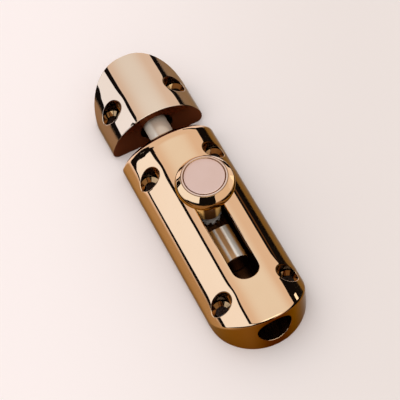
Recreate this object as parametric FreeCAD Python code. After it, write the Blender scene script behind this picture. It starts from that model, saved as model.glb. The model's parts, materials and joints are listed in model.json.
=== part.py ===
"""Half-round surface latch: a casing with a sliding round bolt and thumb knob, and a keeper.

Millimetres. +X runs from the casing's tail towards the keeper, +Y to the left, +Z out of the door.
The origin is the middle of the footprint, on the mounting face. The bolt is shown home in the keeper.
"""
import FreeCAD
import Part
import math
import os

V = FreeCAD.Vector

# Half-round section, the same for the casing and the keeper
width = 30.0
height = 15.0
side_wall_height = 3.4
foot_radius = 2.0

# Casing
casing_length = 72.4
tail_flat = 0.4
end_wall_lean = 0.8
crown_round_radius = 6.0
crown_round_turn = 60.0

# Keeper
keeper_length = 24.0
keeper_end_flat = 2.8
door_gap = 6.1
keeper_mouth_radius = 5.3
keeper_mouth_depth = 4.0
keeper_bore_clearance = 0.25
bolt_engagement = 15.0
bolt_nose_gap = 1.5

# Bolt and its bore
bolt_radius = 3.75
bolt_axis_height = 7.0
bolt_tail_behind_knob = 18.25
bolt_nose_chamfer = 1.0
bolt_tail_chamfer = 0.3
guide_clearance = 0.08
guide_length = 10.0
channel_floor_drop = 0.2
crown_wall = 1.4

# Slot
slot_from_tail = 15.3
slot_length = 31.6
slot_width = 8.0
stop_clearance = 0.1

# Screw holes
screw_hole_radius = 1.9
screw_recess_radius = 3.0
screw_recess_floor = 6.6
screw_row_inset = 4.5
casing_hole_from_tail = 13.7
casing_hole_pitch = 47.1
keeper_hole_from_face = 9.2

# Knob
neck_side_clearance = 0.2
neck_chamfer = 0.3
knob_top_height = 29.5
head_radius = 8.75
head_below_top = 4.0
head_upper_drop = 0.15
head_rim_radius = 6.9
head_under_radius = 3.0
head_under_turn = 50.0
head_tapers = 4
neck_top_height = 19.6
neck_flare_sag = 0.5
cap_radius = 6.0
cap_thickness = 1.2
cap_chamfer = 0.2
cap_clearance = 0.02

# Knob screw, M4 with a cheese head
knob_screw_radius = 2.0
knob_screw_head_radius = 3.5
knob_screw_head_height = 2.6
knob_screw_seat_height = 20.0
knob_screw_tip_gap = 0.6
knob_screw_clearance = 0.15
thread_clearance = 0.02
driver_slot_width = 1.0
driver_slot_depth = 1.2

# Washers under the knob
washer_radius = 3.6
washer_thickness = 2.13
washer_seat_depth = 3.3
washer_seat_clearance = 3.3
tooth_count = 10
tooth_ring_radius = 2.9
tooth_washer_thickness = 1.0
tooth_twist = 40.0
tooth_share = 0.55

# Places worked out from the sizes above
overall_length = casing_length + door_gap + keeper_length
tail_x = -overall_length / 2
front_x = tail_x + casing_length
keeper_face_x = front_x + door_gap
far_x = keeper_face_x + keeper_length
half_width = width / 2
crown_rise = height - side_wall_height
dome_radius = (half_width ** 2 + crown_rise ** 2) / (2 * crown_rise)
tail_corner_radius = (width - tail_flat) / 2
keeper_corner_radius = (width - keeper_end_flat) / 2
screw_row_y = half_width - screw_row_inset
guide_radius = bolt_radius + guide_clearance
channel_floor_height = bolt_axis_height - guide_radius - channel_floor_drop
channel_radius = (height - crown_wall - channel_floor_height) / 2
channel_axis_height = channel_floor_height + channel_radius
slot_front_x = tail_x + slot_from_tail + slot_length
neck_radius = slot_width / 2 - neck_side_clearance
knob_x = slot_front_x - neck_radius - stop_clearance
bolt_travel = slot_length - 2 * neck_radius - 2 * stop_clearance
bolt_tail_x = knob_x - bolt_tail_behind_knob
bolt_nose_x = keeper_face_x + bolt_engagement
washer_seat_height = bolt_axis_height + bolt_radius - washer_seat_depth
tooth_width = tooth_share * 2 * math.pi * washer_radius / tooth_count
tooth_lean = math.radians(tooth_twist)
tooth_washer_stack = tooth_width * math.sin(tooth_lean) + tooth_washer_thickness * math.cos(tooth_lean)
plain_washer_height = washer_seat_height + tooth_washer_stack
neck_bottom_height = plain_washer_height + washer_thickness
washer_bore_radius = knob_screw_radius + knob_screw_clearance
overshoot = 2.0


def line(start, end):
    """Straight edge between two points."""
    return Part.LineSegment(start, end).toShape()


def arc(start, middle, end):
    """Circular edge through three points."""
    return Part.Arc(start, middle, end).toShape()


def cylinder(radius, length, base, direction=V(0, 0, 1)):
    """Round bar from base along direction."""
    return Part.makeCylinder(radius, length, base, direction)


def cone(radius_low, radius_high, length, base, direction=V(0, 0, 1)):
    """Round taper from base along direction."""
    return Part.makeCone(radius_low, radius_high, length, base, direction)


def chords(point_at, last_angle, count):
    """Straight edges that step round a curve from angle 0 to last_angle."""
    points = [point_at(last_angle * index / count) for index in range(count + 1)]
    return [line(points[index], points[index + 1]) for index in range(count)]


def half_round_bar(x_start, length):
    """Bar of the half-round section: rounded feet, short upright sides and a domed crown."""
    foot_y = half_width - foot_radius
    bend = foot_radius * (1 - math.sqrt(0.5))

    def at(y, z):
        return V(x_start, y, z)

    edges = [
        line(at(-foot_y, 0), at(foot_y, 0)),
        arc(at(foot_y, 0), at(half_width - bend, bend), at(half_width, foot_radius)),
        line(at(half_width, foot_radius), at(half_width, side_wall_height)),
        arc(at(half_width, side_wall_height), at(0, height), at(-half_width, side_wall_height)),
        line(at(-half_width, side_wall_height), at(-half_width, foot_radius)),
        arc(at(-half_width, foot_radius), at(-half_width + bend, bend), at(-foot_y, 0)),
    ]
    return Part.Face(Part.Wire(edges)).extrude(V(length, 0, 0))


def rounded_end_prism(end_x, corner_radius, towards, length):
    """Upright block whose end at end_x has round corners and leans inwards by end_wall_lean.

    towards is +1 where the block lies on the +X side of its end, and -1 on the other side.
    """
    corner_y = half_width - corner_radius
    bend = corner_radius * (1 - math.sqrt(0.5))
    corner_x = end_x + towards * corner_radius
    bend_x = end_x + towards * bend
    back_x = end_x + towards * length
    edges = [
        line(V(back_x, -half_width, 0), V(corner_x, -half_width, 0)),
        arc(V(corner_x, -half_width, 0), V(bend_x, -half_width + bend, 0), V(end_x, -corner_y, 0)),
        line(V(end_x, -corner_y, 0), V(end_x, corner_y, 0)),
        arc(V(end_x, corner_y, 0), V(bend_x, half_width - bend, 0), V(corner_x, half_width, 0)),
        line(V(corner_x, half_width, 0), V(back_x, half_width, 0)),
        line(V(back_x, half_width, 0), V(back_x, -half_width, 0)),
    ]
    return Part.Face(Part.Wire(edges)).extrude(V(towards * end_wall_lean, 0, height))


def crown_round_prism():
    """Side view of the casing: its crown rolls down to the front face."""
    turn = math.radians(crown_round_turn)
    centre_x = front_x - crown_round_radius * math.sin(turn)
    centre_z = height - crown_round_radius

    def on_round(angle):
        x = centre_x + crown_round_radius * math.sin(angle)
        return V(x, -width, centre_z + crown_round_radius * math.cos(angle))

    back_x = tail_x - overshoot
    edges = [
        line(V(back_x, -width, 0), V(front_x, -width, 0)),
        line(V(front_x, -width, 0), on_round(turn)),
        arc(on_round(turn), on_round(turn / 2), on_round(0)),
        line(on_round(0), V(back_x, -width, height)),
        line(V(back_x, -width, height), V(back_x, -width, 0)),
    ]
    return Part.Face(Part.Wire(edges)).extrude(V(0, 2 * width, 0))


def screw_hole(x, y):
    """Upright screw hole: a recess open to the flank, a cone for the head and a clear hole."""
    seat_depth = screw_recess_radius - screw_hole_radius
    recess = cylinder(screw_recess_radius, height, V(x, y, screw_recess_floor))
    seat = cone(screw_hole_radius, screw_recess_radius, seat_depth, V(x, y, screw_recess_floor - seat_depth))
    hole = cylinder(screw_hole_radius, height, V(x, y, -overshoot))
    return recess.fuse(seat).fuse(hole)


def slot_cutter():
    """Round-ended slot, from the bore up through the crown."""
    radius = slot_width / 2
    first_x = slot_front_x - slot_length + radius
    last_x = slot_front_x - radius
    ends = [cylinder(radius, height, V(x, 0, channel_axis_height)) for x in (first_x, last_x)]
    middle = Part.makeBox(last_x - first_x, slot_width, height, V(first_x, -radius, channel_axis_height))
    return ends[0].fuse(ends[1]).fuse(middle)


def make_casing():
    """Casing: half-round body, bolt channel and guide, slot and four screw holes."""
    body = half_round_bar(tail_x - overshoot, casing_length + 2 * overshoot)
    body = body.common(rounded_end_prism(tail_x, tail_corner_radius, 1, casing_length + overshoot))
    body = body.common(crown_round_prism())
    channel_length = casing_length - guide_length + overshoot
    channel_start = V(tail_x - overshoot, 0, channel_axis_height)
    guide_start = V(tail_x + overshoot, 0, bolt_axis_height)
    body = body.cut(cylinder(channel_radius, channel_length, channel_start, V(1, 0, 0)))
    body = body.cut(cylinder(guide_radius, casing_length, guide_start, V(1, 0, 0)))
    body = body.cut(slot_cutter())
    first_hole_x = tail_x + casing_hole_from_tail
    for x in (first_hole_x, first_hole_x + casing_hole_pitch):
        for side in (-1, 1):
            body = body.cut(screw_hole(x, side * screw_row_y))
    return body


def make_keeper():
    """Keeper: a short half-round piece with a blind, wide-mouthed bore and two screw holes."""
    body = half_round_bar(keeper_face_x, keeper_length + overshoot)
    body = body.common(rounded_end_prism(far_x, keeper_corner_radius, -1, keeper_length))
    bore_depth = bolt_engagement + bolt_nose_gap
    bore_start = V(keeper_face_x - overshoot, 0, bolt_axis_height)
    bore_radius = bolt_radius + keeper_bore_clearance
    body = body.cut(cylinder(bore_radius, bore_depth + overshoot, bore_start, V(1, 0, 0)))
    body = body.cut(cylinder(keeper_mouth_radius, keeper_mouth_depth + overshoot, bore_start, V(1, 0, 0)))
    for side in (-1, 1):
        body = body.cut(screw_hole(keeper_face_x + keeper_hole_from_face, side * screw_row_y))
    return body


def make_bolt():
    """Bolt: a round bar with a bevelled nose, a washer seat and a tapped hole for the knob screw."""
    along = V(1, 0, 0)
    nose_start = V(bolt_nose_x - bolt_nose_chamfer, 0, bolt_axis_height)
    tail = V(bolt_tail_x, 0, bolt_axis_height)
    shank_start = V(bolt_tail_x + bolt_tail_chamfer, 0, bolt_axis_height)
    bar = cone(bolt_radius - bolt_tail_chamfer, bolt_radius, bolt_tail_chamfer, tail, along)
    bar = bar.fuse(cylinder(bolt_radius, nose_start.x - shank_start.x, shank_start, along))
    bar = bar.fuse(cone(bolt_radius, bolt_radius - bolt_nose_chamfer, bolt_nose_chamfer, nose_start, along))
    seat = cylinder(washer_radius + washer_seat_clearance, bolt_radius, V(knob_x, 0, washer_seat_height))
    tapped = cylinder(knob_screw_radius + thread_clearance, height, V(knob_x, 0, 0))
    return bar.cut(seat).cut(tapped).removeSplitter()


def make_knob():
    """Knob: a neck that runs in the slot and a round head, bored for the screw and its cap."""
    rim_z = knob_top_height - head_upper_drop
    widest_z = knob_top_height - head_below_top
    rise = rim_z - widest_z
    inset = head_radius - head_rim_radius
    upper_radius = (inset ** 2 + rise ** 2) / (2 * inset)
    upper_turn = math.asin(rise / upper_radius)
    under_turn = math.radians(head_under_turn)
    recess_radius = cap_radius + cap_clearance
    recess_z = knob_top_height - cap_thickness
    head_bore = knob_screw_head_radius + 2 * knob_screw_clearance

    def upper(angle):
        r = head_radius - upper_radius + upper_radius * math.cos(angle)
        return V(r, 0, widest_z + upper_radius * math.sin(angle))

    def under(angle):
        r = head_radius - head_under_radius + head_under_radius * math.cos(angle)
        return V(r, 0, widest_z - head_under_radius * math.sin(angle))

    flare_top = under(under_turn)
    flare_bottom = V(neck_radius, 0, neck_top_height)
    sag = neck_flare_sag * math.sqrt(0.5)
    flare_middle = (flare_top + flare_bottom) * 0.5 + V(-sag, 0, sag)
    neck_foot = V(neck_radius - neck_chamfer, 0, neck_bottom_height)
    neck_side = V(neck_radius, 0, neck_bottom_height + neck_chamfer)
    recess_edge = V(recess_radius + cap_chamfer, 0, knob_top_height)
    recess_wall = V(recess_radius, 0, knob_top_height - cap_chamfer)
    edges = [
        line(V(washer_bore_radius, 0, neck_bottom_height), neck_foot),
        line(neck_foot, neck_side),
        line(neck_side, flare_bottom),
        line(flare_bottom, flare_middle),
        line(flare_middle, flare_top),
        *chords(under, under_turn, head_tapers),
        *chords(upper, upper_turn, head_tapers),
        line(upper(upper_turn), recess_edge),
        line(recess_edge, recess_wall),
        line(recess_wall, V(recess_radius, 0, recess_z)),
        line(V(recess_radius, 0, recess_z), V(head_bore, 0, recess_z)),
        line(V(head_bore, 0, recess_z), V(head_bore, 0, knob_screw_seat_height)),
        line(V(head_bore, 0, knob_screw_seat_height), V(washer_bore_radius, 0, knob_screw_seat_height)),
        line(V(washer_bore_radius, 0, knob_screw_seat_height), V(washer_bore_radius, 0, neck_bottom_height)),
    ]
    profile = Part.Wire(Part.__sortEdges__(edges))
    knob = Part.Face(profile).revolve(V(0, 0, 0), V(0, 0, 1), 360)
    knob.translate(V(knob_x, 0, 0))
    return knob


def make_knob_cap():
    """Flat disc pressed into the top of the knob."""
    base = V(knob_x, 0, knob_top_height - cap_thickness)
    straight = cylinder(cap_radius, cap_thickness - cap_chamfer, base)
    bevel_base = base + V(0, 0, cap_thickness - cap_chamfer)
    return straight.fuse(cone(cap_radius, cap_radius - cap_chamfer, cap_chamfer, bevel_base))


def make_knob_screw():
    """Cheese-head screw down the middle of the knob into the bolt."""
    tip_z = bolt_axis_height - bolt_radius + knob_screw_tip_gap
    head_base = V(knob_x, 0, knob_screw_seat_height)
    shank = cylinder(knob_screw_radius, knob_screw_seat_height - tip_z, V(knob_x, 0, tip_z))
    head = cylinder(knob_screw_head_radius, knob_screw_head_height, head_base)
    screw = shank.fuse(head)
    slot_length_across = 2 * knob_screw_head_radius + overshoot
    slot_base_z = knob_screw_seat_height + knob_screw_head_height - driver_slot_depth
    slot_corner = V(knob_x - slot_length_across / 2, -driver_slot_width / 2, slot_base_z)
    return screw.cut(Part.makeBox(slot_length_across, driver_slot_width, 2 * driver_slot_depth, slot_corner))


def make_plain_washer():
    """Flat ring under the knob's neck."""
    ring = cylinder(washer_radius, washer_thickness, V(knob_x, 0, plain_washer_height))
    return ring.cut(cylinder(washer_bore_radius, height, V(knob_x, 0, plain_washer_height - overshoot)))


def make_tooth_washer():
    """Lock washer: a thin ring with teeth on its rim, each twisted about its own spoke."""
    middle_z = washer_seat_height + tooth_washer_stack / 2
    ring_base = V(0, 0, -tooth_washer_thickness / 2)
    washer = cylinder(tooth_ring_radius, tooth_washer_thickness, ring_base)
    tooth_root = (tooth_ring_radius + washer_bore_radius) / 2
    for index in range(tooth_count):
        corner = V(tooth_root, -tooth_width / 2, -tooth_washer_thickness / 2)
        tooth = Part.makeBox(washer_radius - tooth_root, tooth_width, tooth_washer_thickness, corner)
        tooth.rotate(V(0, 0, 0), V(1, 0, 0), tooth_twist)
        tooth.rotate(V(0, 0, 0), V(0, 0, 1), index * 360 / tooth_count)
        washer = washer.fuse(tooth)
    washer = washer.cut(cylinder(washer_bore_radius, height, V(0, 0, -height / 2)))
    washer.translate(V(knob_x, 0, middle_z))
    return washer


NODES = {
    "casing": make_casing,
    "keeper": make_keeper,
    "bolt_rod": make_bolt,
    "knob": make_knob,
    "knob_cap": make_knob_cap,
    "knob_screw": make_knob_screw,
    "plain_washer": make_plain_washer,
    "tooth_washer": make_tooth_washer,
}

os.makedirs("parts", exist_ok=True)
for name, make in NODES.items():
    shape = make()
    solids = shape.Solids
    if len(solids) != 1 or not shape.isValid():
        raise ValueError(name + " is not one valid solid")
    solids[0].exportStep("parts/" + name + ".step")
    print(name, round(shape.Volume, 1), "mm3")
print("bolt travel", round(bolt_travel, 3), "mm, screw rows", 2 * screw_row_y, "mm apart")
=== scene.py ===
"""Half-round surface latch in mirror-polished rose brass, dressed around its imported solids.

Sizes are in millimetres, in the latch's own frame: +X from the casing's tail to the keeper, +Y to the
left, +Z out of the door. Meshes are turned to metres when they become scene objects.
"""
from __future__ import annotations

import json
import logging
import math
from dataclasses import dataclass
from enum import Enum
from functools import cached_property
from typing import Callable, Optional

import bpy
import numpy as np
from mathutils import Matrix, Vector
from mathutils.geometry import delaunay_2d_cdt

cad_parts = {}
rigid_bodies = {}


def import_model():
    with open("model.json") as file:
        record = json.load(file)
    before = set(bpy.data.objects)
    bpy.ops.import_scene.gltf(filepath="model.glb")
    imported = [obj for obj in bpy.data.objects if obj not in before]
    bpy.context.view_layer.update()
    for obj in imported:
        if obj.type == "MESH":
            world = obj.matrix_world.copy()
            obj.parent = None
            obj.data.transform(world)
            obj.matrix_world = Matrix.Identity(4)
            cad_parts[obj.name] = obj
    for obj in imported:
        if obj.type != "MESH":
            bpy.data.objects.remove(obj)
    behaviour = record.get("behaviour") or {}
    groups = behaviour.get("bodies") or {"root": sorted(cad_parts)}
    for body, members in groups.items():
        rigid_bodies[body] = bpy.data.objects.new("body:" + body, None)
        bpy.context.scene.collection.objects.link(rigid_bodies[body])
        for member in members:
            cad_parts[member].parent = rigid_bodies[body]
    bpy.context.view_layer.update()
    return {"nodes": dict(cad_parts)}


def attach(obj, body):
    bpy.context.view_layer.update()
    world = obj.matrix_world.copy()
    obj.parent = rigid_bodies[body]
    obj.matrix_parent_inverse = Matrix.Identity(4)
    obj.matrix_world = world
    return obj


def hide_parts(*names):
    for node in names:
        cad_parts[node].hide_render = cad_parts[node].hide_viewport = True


for startup_item in list(bpy.data.objects):
    bpy.data.objects.remove(startup_item)
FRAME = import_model()
MM = 0.001

Array = np.ndarray
Triple = tuple[float, float, float]
Colour = Triple
Spot = tuple[float, float]
Row = tuple[Array, Array]
Surface = Callable[[Array, Array], Array]
Piece = bpy.types.Object
Socket = bpy.types.NodeSocket
Metal = bpy.types.Material

AHEAD: Triple = (1.0, 0.0, 0.0)
UP: Triple = (0.0, 0.0, 1.0)
DOWN: Triple = (0.0, 0.0, -1.0)

# Place of each finish in a brass or steel body's list of materials
OUTSIDE = 0
# The bore and recess finishes are a dark brown that is painted shade inside the holes, slot, channel and the
# rod's seat and tail end.
SHADED_BORE = 1
SHADED_RECESS = 2

# Where the middle of a rounded edge lies, from its corner towards the middle of its chord
ROUND_MIDDLE = 0.586

log = logging.getLogger("latch")


class Body(Enum):
    """The two rigid bodies of the latch."""

    FIXED = "fixed_parts"
    BOLT = "bolt"


class Slot(Enum):
    """Material slots named in the record."""

    ROSE_BRASS = "rose_brass"
    KNOB_BRASS = "knob_brass"
    CAP_BRASS = "cap_brass"
    BOLT_STEEL = "bolt_steel"
    FASTENER_STEEL = "fastener_steel"


def unit(vectors: Array) -> Array:
    """Vectors scaled to length one."""
    length = np.linalg.norm(vectors, axis=-1, keepdims=True)
    return vectors / np.maximum(length, 1e-12)


def ease(share: Array) -> Array:
    """A share, held between 0 and 1, that starts and ends gently."""
    share = np.clip(share, 0, 1)
    return share * share * (3 - 2 * share)


def columns(*parts: Array | float) -> Array:
    """Coordinates side by side, where a single value counts for every row."""
    return np.stack(np.broadcast_arrays(*parts), -1)


def pairs(first: Array, second: Array) -> Array:
    """Every pair of one value from the first list and one from the second."""
    return np.stack(np.meshgrid(first, second), -1).reshape(-1, 2)


def facing(direction: Triple, count: int) -> Array:
    """One direction, repeated for each point of a row."""
    return np.tile(direction, (count, 1))


def ring(radius: float, count: int, centre: Spot = (0.0, 0.0)) -> Array:
    """Points of a circle.

    Args:
        radius: Radius of the circle.
        count: Number of points.
        centre: Middle of the circle.

    Returns:
        Array of count rows and two columns.
    """
    turn = np.linspace(0, 2 * np.pi, count, endpoint=False)
    return columns(centre[0] + radius * np.cos(turn), centre[1] + radius * np.sin(turn))


def hoop(x: float, radius: float, height: float, count: int) -> Array:
    """Points of a circle that stands across the latch.

    Args:
        x: Its place along the latch.
        radius: Radius of the circle.
        height: Height of its middle.
        count: Number of points.

    Returns:
        Rows of x, y and z.
    """
    return columns(x, *ring(radius, count, (0.0, height)).T)


def hoop_inward(count: int) -> Array:
    """Directions from each point of such a circle to its middle."""
    return -columns(0.0, *ring(1.0, count).T)


def inside(points: Array, loop: Array) -> Array:
    """Even-odd test of points against a closed loop.

    Args:
        points: Rows of two coordinates.
        loop: Corners of the closed loop, in order.

    Returns:
        True for each point that lies inside.
    """
    found = np.zeros(len(points), bool)
    for (x1, y1), (x2, y2) in zip(loop, np.roll(loop, -1, axis=0)):
        if y1 == y2:
            continue
        crosses = (points[:, 1] < y1) != (points[:, 1] < y2)
        at = x1 + (points[:, 1] - y1) * (x2 - x1) / (y2 - y1)
        found ^= crosses & (points[:, 0] < at)
    return found


def distance_to_loop(points: Array, loop: Array) -> Array:
    """Shortest distance from each point to a closed loop's sides.

    Args:
        points: Rows of two coordinates.
        loop: Corners of the closed loop, in order.

    Returns:
        One distance for each point.
    """
    best = np.full(len(points), np.inf)
    for start, side in zip(loop, np.roll(loop, -1, axis=0) - loop):
        length = max(float(side @ side), 1e-18)
        share = np.clip((points - start) @ side / length, 0, 1)
        best = np.minimum(best, np.hypot(*(points - start - share[:, None] * side).T))
    return best


@dataclass
class Rim:
    """A closed loop of points that two patches share.

    Attributes:
        flat: The points in the patch's own two coordinates.
        points: The points in space.
        normals: The patch's normals at the points.
    """

    flat: Array
    points: Array
    normals: Array

    @property
    def row(self) -> Row:
        """Its points and normals."""
        return self.points, self.normals


@dataclass(frozen=True)
class Face:
    """A face whose places are found from two flat coordinates.

    Attributes:
        point: Gives the space point of a flat point.
        normal: Gives the normal there.
    """

    point: Surface
    normal: Surface

    def rim(self, flat: Array) -> Rim:
        """A rim along a row of flat points."""
        return Rim(flat, self.point(*flat.T), self.normal(*flat.T))


def plane(point: Surface, direction: Triple) -> Face:
    """A flat face, from its places and its one normal."""
    return Face(point, lambda first, _: facing(direction, len(first)))


class Shell:
    """A closed mesh put together from patches whose corners keep exact normals."""

    def __init__(self) -> None:
        """Start with no patches."""
        self.points: list[Array] = []
        self.normals: list[Array] = []
        self.faces: list[Array] = []
        self.slots: list[Array] = []
        self.count = 0
        self.finish_slot = OUTSIDE

    def add(self, points: Array, normals: Array, faces: Array) -> None:
        """Add one patch.

        Args:
            points: Its corners in space.
            normals: Its normals at the corners.
            faces: Rows of three corner numbers.
        """
        self.points.append(points)
        self.normals.append(unit(normals))
        self.faces.append(faces + self.count)
        self.slots.append(np.full(len(faces), self.finish_slot))
        self.count += len(points)

    def band(self, low: Row, high: Row, closed: bool = True) -> None:
        """Join two rows of points by a strip of triangles.

        Args:
            low: Points and normals of the first row.
            high: Those of the second row, which has as many.
            closed: Whether the last point joins the first.
        """
        size = len(low[0])
        here = np.arange(size if closed else size - 1)
        after = (here + 1) % size
        first = columns(here, after, after + size)
        second = columns(here, after + size, here + size)
        points, normals = map(np.concatenate, zip(low, high))
        self.add(points, normals, np.concatenate([first, second]))

    def tube(self, rows: list[Row], closed: bool = True) -> None:
        """Join each row of points to the next, with the same normals on both sides of a row.

        Args:
            rows: Points and normals of each row.
            closed: Whether each row is a closed loop.
        """
        for low, high in zip(rows, rows[1:]):
            self.band(low, high, closed)

    def patch(self, rims: list[Rim], grid: Array, face: Face, spacing: float) -> None:
        """Fill the region inside the first rim and outside the others.

        Args:
            rims: The outer rim, then the rims of the openings.
            grid: Points inside the region that the triangles use.
            face: The face that the region lies on.
            spacing: Grid points nearer to a rim than this are left out.
        """
        keep = self.held(grid, rims)
        for rim in rims:
            keep &= distance_to_loop(grid, rim.flat) > spacing
        grid = grid[keep]
        flat = np.concatenate([rim.flat for rim in rims] + [grid])
        edges = []
        start = 0
        for rim in rims:
            size = len(rim.flat)
            edges += [(start + i, start + (i + 1) % size) for i in range(size)]
            start += size
        made = delaunay_2d_cdt([Vector(p) for p in flat], edges, [], 0, 1e-7)
        source = np.array([owners[0] if owners else -1 for owners in made[3]])
        faces = source[np.array(made[2])]
        faces = faces[(faces >= 0).all(1)]
        faces = faces[self.held(flat[faces].mean(1), rims)]
        points = np.concatenate([rim.points for rim in rims] + [face.point(*grid.T)])
        normals = np.concatenate([rim.normals for rim in rims] + [face.normal(*grid.T)])
        self.add(points, normals, faces)

    @staticmethod
    def held(points: Array, rims: list[Rim]) -> Array:
        """Test of flat points against a region.

        Args:
            points: The flat points.
            rims: The region's outer rim, then the rims of its openings.

        Returns:
            True for each point inside the first rim and outside the others.
        """
        found = inside(points, rims[0].flat)
        for rim in rims[1:]:
            found &= ~inside(points, rim.flat)
        return found

    def finish(self, name: str, move: Callable[[Array, Array], Row]) -> Piece:
        """Weld the patches into one mesh object.

        Args:
            name: Name of the object and its mesh.
            move: Takes points and normals in millimetres to the latch's frame.

        Returns:
            The new object, with its corner normals set.
        """
        points, normals = move(np.concatenate(self.points), np.concatenate(self.normals))
        points[:, 2] = np.maximum(points[:, 2], 0.0)
        corners = np.concatenate(self.faces)
        _, first, owner = np.unique(np.round(points, 4), axis=0, return_index=True, return_inverse=True)
        faces = owner.reshape(-1)[corners]
        whole = (faces != np.roll(faces, -1, axis=1)).all(1)
        faces = faces[whole]
        corners = corners[whole]
        slots = np.concatenate(self.slots)[whole]
        spots = points[first]
        a, b, c = (spots[faces[:, i]] for i in range(3))
        wrong = (np.cross(b - a, c - a) * normals[corners].sum(1)).sum(1) < 0
        faces[wrong] = faces[wrong][:, ::-1]
        corners[wrong] = corners[wrong][:, ::-1]
        mesh = bpy.data.meshes.new(name)
        mesh.from_pydata((spots * MM).tolist(), [], faces.tolist())
        mesh.polygons.foreach_set("material_index", slots.tolist())
        mesh.shade_smooth()
        mesh.normals_split_custom_set(normals[corners].reshape(-1, 3).tolist())
        mesh.update()
        return add_object(name, mesh)


def add_object(name: str, data: bpy.types.ID) -> Piece:
    """Put new data into the scene.

    Args:
        name: Name of the new object.
        data: Its mesh, light or camera.

    Returns:
        The new object.
    """
    item = bpy.data.objects.new(name, data)
    bpy.context.scene.collection.objects.link(item)
    return item


@dataclass(frozen=True)
class HalfRoundSection:
    """Section of the latch's bar: a domed crown, soft shoulders, short upright sides and rounded feet.

    A place on it is its length s from the top of the crown, positive to +Y.
    """

    width: float = 30.0
    height: float = 15.0
    side_wall_height: float = 3.4
    shoulder_radius: float = 6.0
    foot_radius: float = 2.0

    @cached_property
    def dome_radius(self) -> float:
        """Radius of the crown."""
        rise = self.height - self.side_wall_height
        return ((self.width / 2) ** 2 + rise**2) / (2 * rise)

    @cached_property
    def dome_turn(self) -> float:
        """Angle at which the crown meets the shoulder."""
        across = self.width / 2 - self.shoulder_radius
        return math.asin(across / (self.dome_radius - self.shoulder_radius))

    @cached_property
    def shoulder_centre_z(self) -> float:
        """Height of the shoulder's centre."""
        drop = (self.dome_radius - self.shoulder_radius) * math.cos(self.dome_turn)
        return self.height - self.dome_radius + drop

    @cached_property
    def marks(self) -> Array:
        """Lengths at which the crown, shoulder, side and foot end.

        Returns:
            The four lengths.
        """
        crown = self.dome_radius * self.dome_turn
        shoulder = self.shoulder_radius * (math.pi / 2 - self.dome_turn)
        foot = self.foot_radius * math.pi / 2
        return np.cumsum([crown, shoulder, self.shoulder_centre_z - self.foot_radius, foot])

    @property
    def reach(self) -> float:
        """Length from the top of the crown to the end of a foot."""
        return float(self.marks[3])

    def turn(self, s: Array) -> Array:
        """Angle of the section's normal from upright.

        Args:
            s: Lengths from the top of the crown.

        Returns:
            The angles, from 0 at the crown to pi under the foot.
        """
        crown, shoulder, side, foot = self.marks
        length = np.abs(s)
        turned = np.where(length < crown, length / self.dome_radius, self.dome_turn)
        turned = turned + np.clip(length - crown, 0, shoulder - crown) / self.shoulder_radius
        return turned + np.clip(length - side, 0, foot - side) / self.foot_radius

    def at(self, s: Array) -> tuple[Array, Array, Array, Array]:
        """Place and normal on the section.

        Args:
            s: Lengths from the top of the crown.

        Returns:
            y, z and the normal's y and z.
        """
        crown, shoulder, side, _ = self.marks
        length = np.abs(s)
        sign = np.where(s < 0, -1.0, 1.0)
        turned = self.turn(s)
        sine, cosine = np.sin(turned), np.cos(turned)
        half = self.width / 2
        stretches = [length < crown, length < shoulder, length < side]
        y = np.select(
            stretches,
            [self.dome_radius * sine, half - self.shoulder_radius * (1 - sine), half + 0 * sine],
            half - self.foot_radius * (1 - sine),
        )
        z = np.select(
            stretches,
            [
                self.height - self.dome_radius * (1 - cosine),
                self.shoulder_centre_z + self.shoulder_radius * cosine,
                self.shoulder_centre_z - (length - shoulder),
            ],
            self.foot_radius * (1 + cosine),
        )
        return sign * y, z, sign * sine, cosine

    @cached_property
    def upper_table(self) -> tuple[Array, Array]:
        """Half widths and lengths along the crown and shoulder, for looking one up from the other."""
        lengths = np.linspace(0, self.marks[1], 4000)
        return self.at(lengths)[0], lengths

    def length_at(self, y: Array) -> Array:
        """Length s of a place on the crown or shoulder, from its y."""
        widths, lengths = self.upper_table
        return np.sign(y) * np.interp(np.abs(y), widths, lengths)


@dataclass(frozen=True)
class ScrewHoles:
    """Screw holes of one body: a recess open to the flank, a cone for the head and a clear hole.

    Attributes:
        places: Length from the rounded end and y of each hole.
        rim_radius: Size of the rounded edge of a recess.
        dish_depth: How far the polish has dished the crown at that edge.
        dish_width: How fast the dish dies out.
        dish_rings: Distances from the recess at which the crown gets a ring of points.
    """

    places: tuple[Spot, ...]
    hole_radius: float = 1.9
    recess_radius: float = 3.0
    recess_floor: float = 6.6
    rim_radius: float = 0.32
    dish_depth: float = 0.10
    dish_width: float = 0.9
    dish_rings: tuple[float, ...] = (0.5, 0.75, 1.05, 1.4, 1.8, 2.3)
    dish_points: int = 72
    points: int = 96


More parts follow.
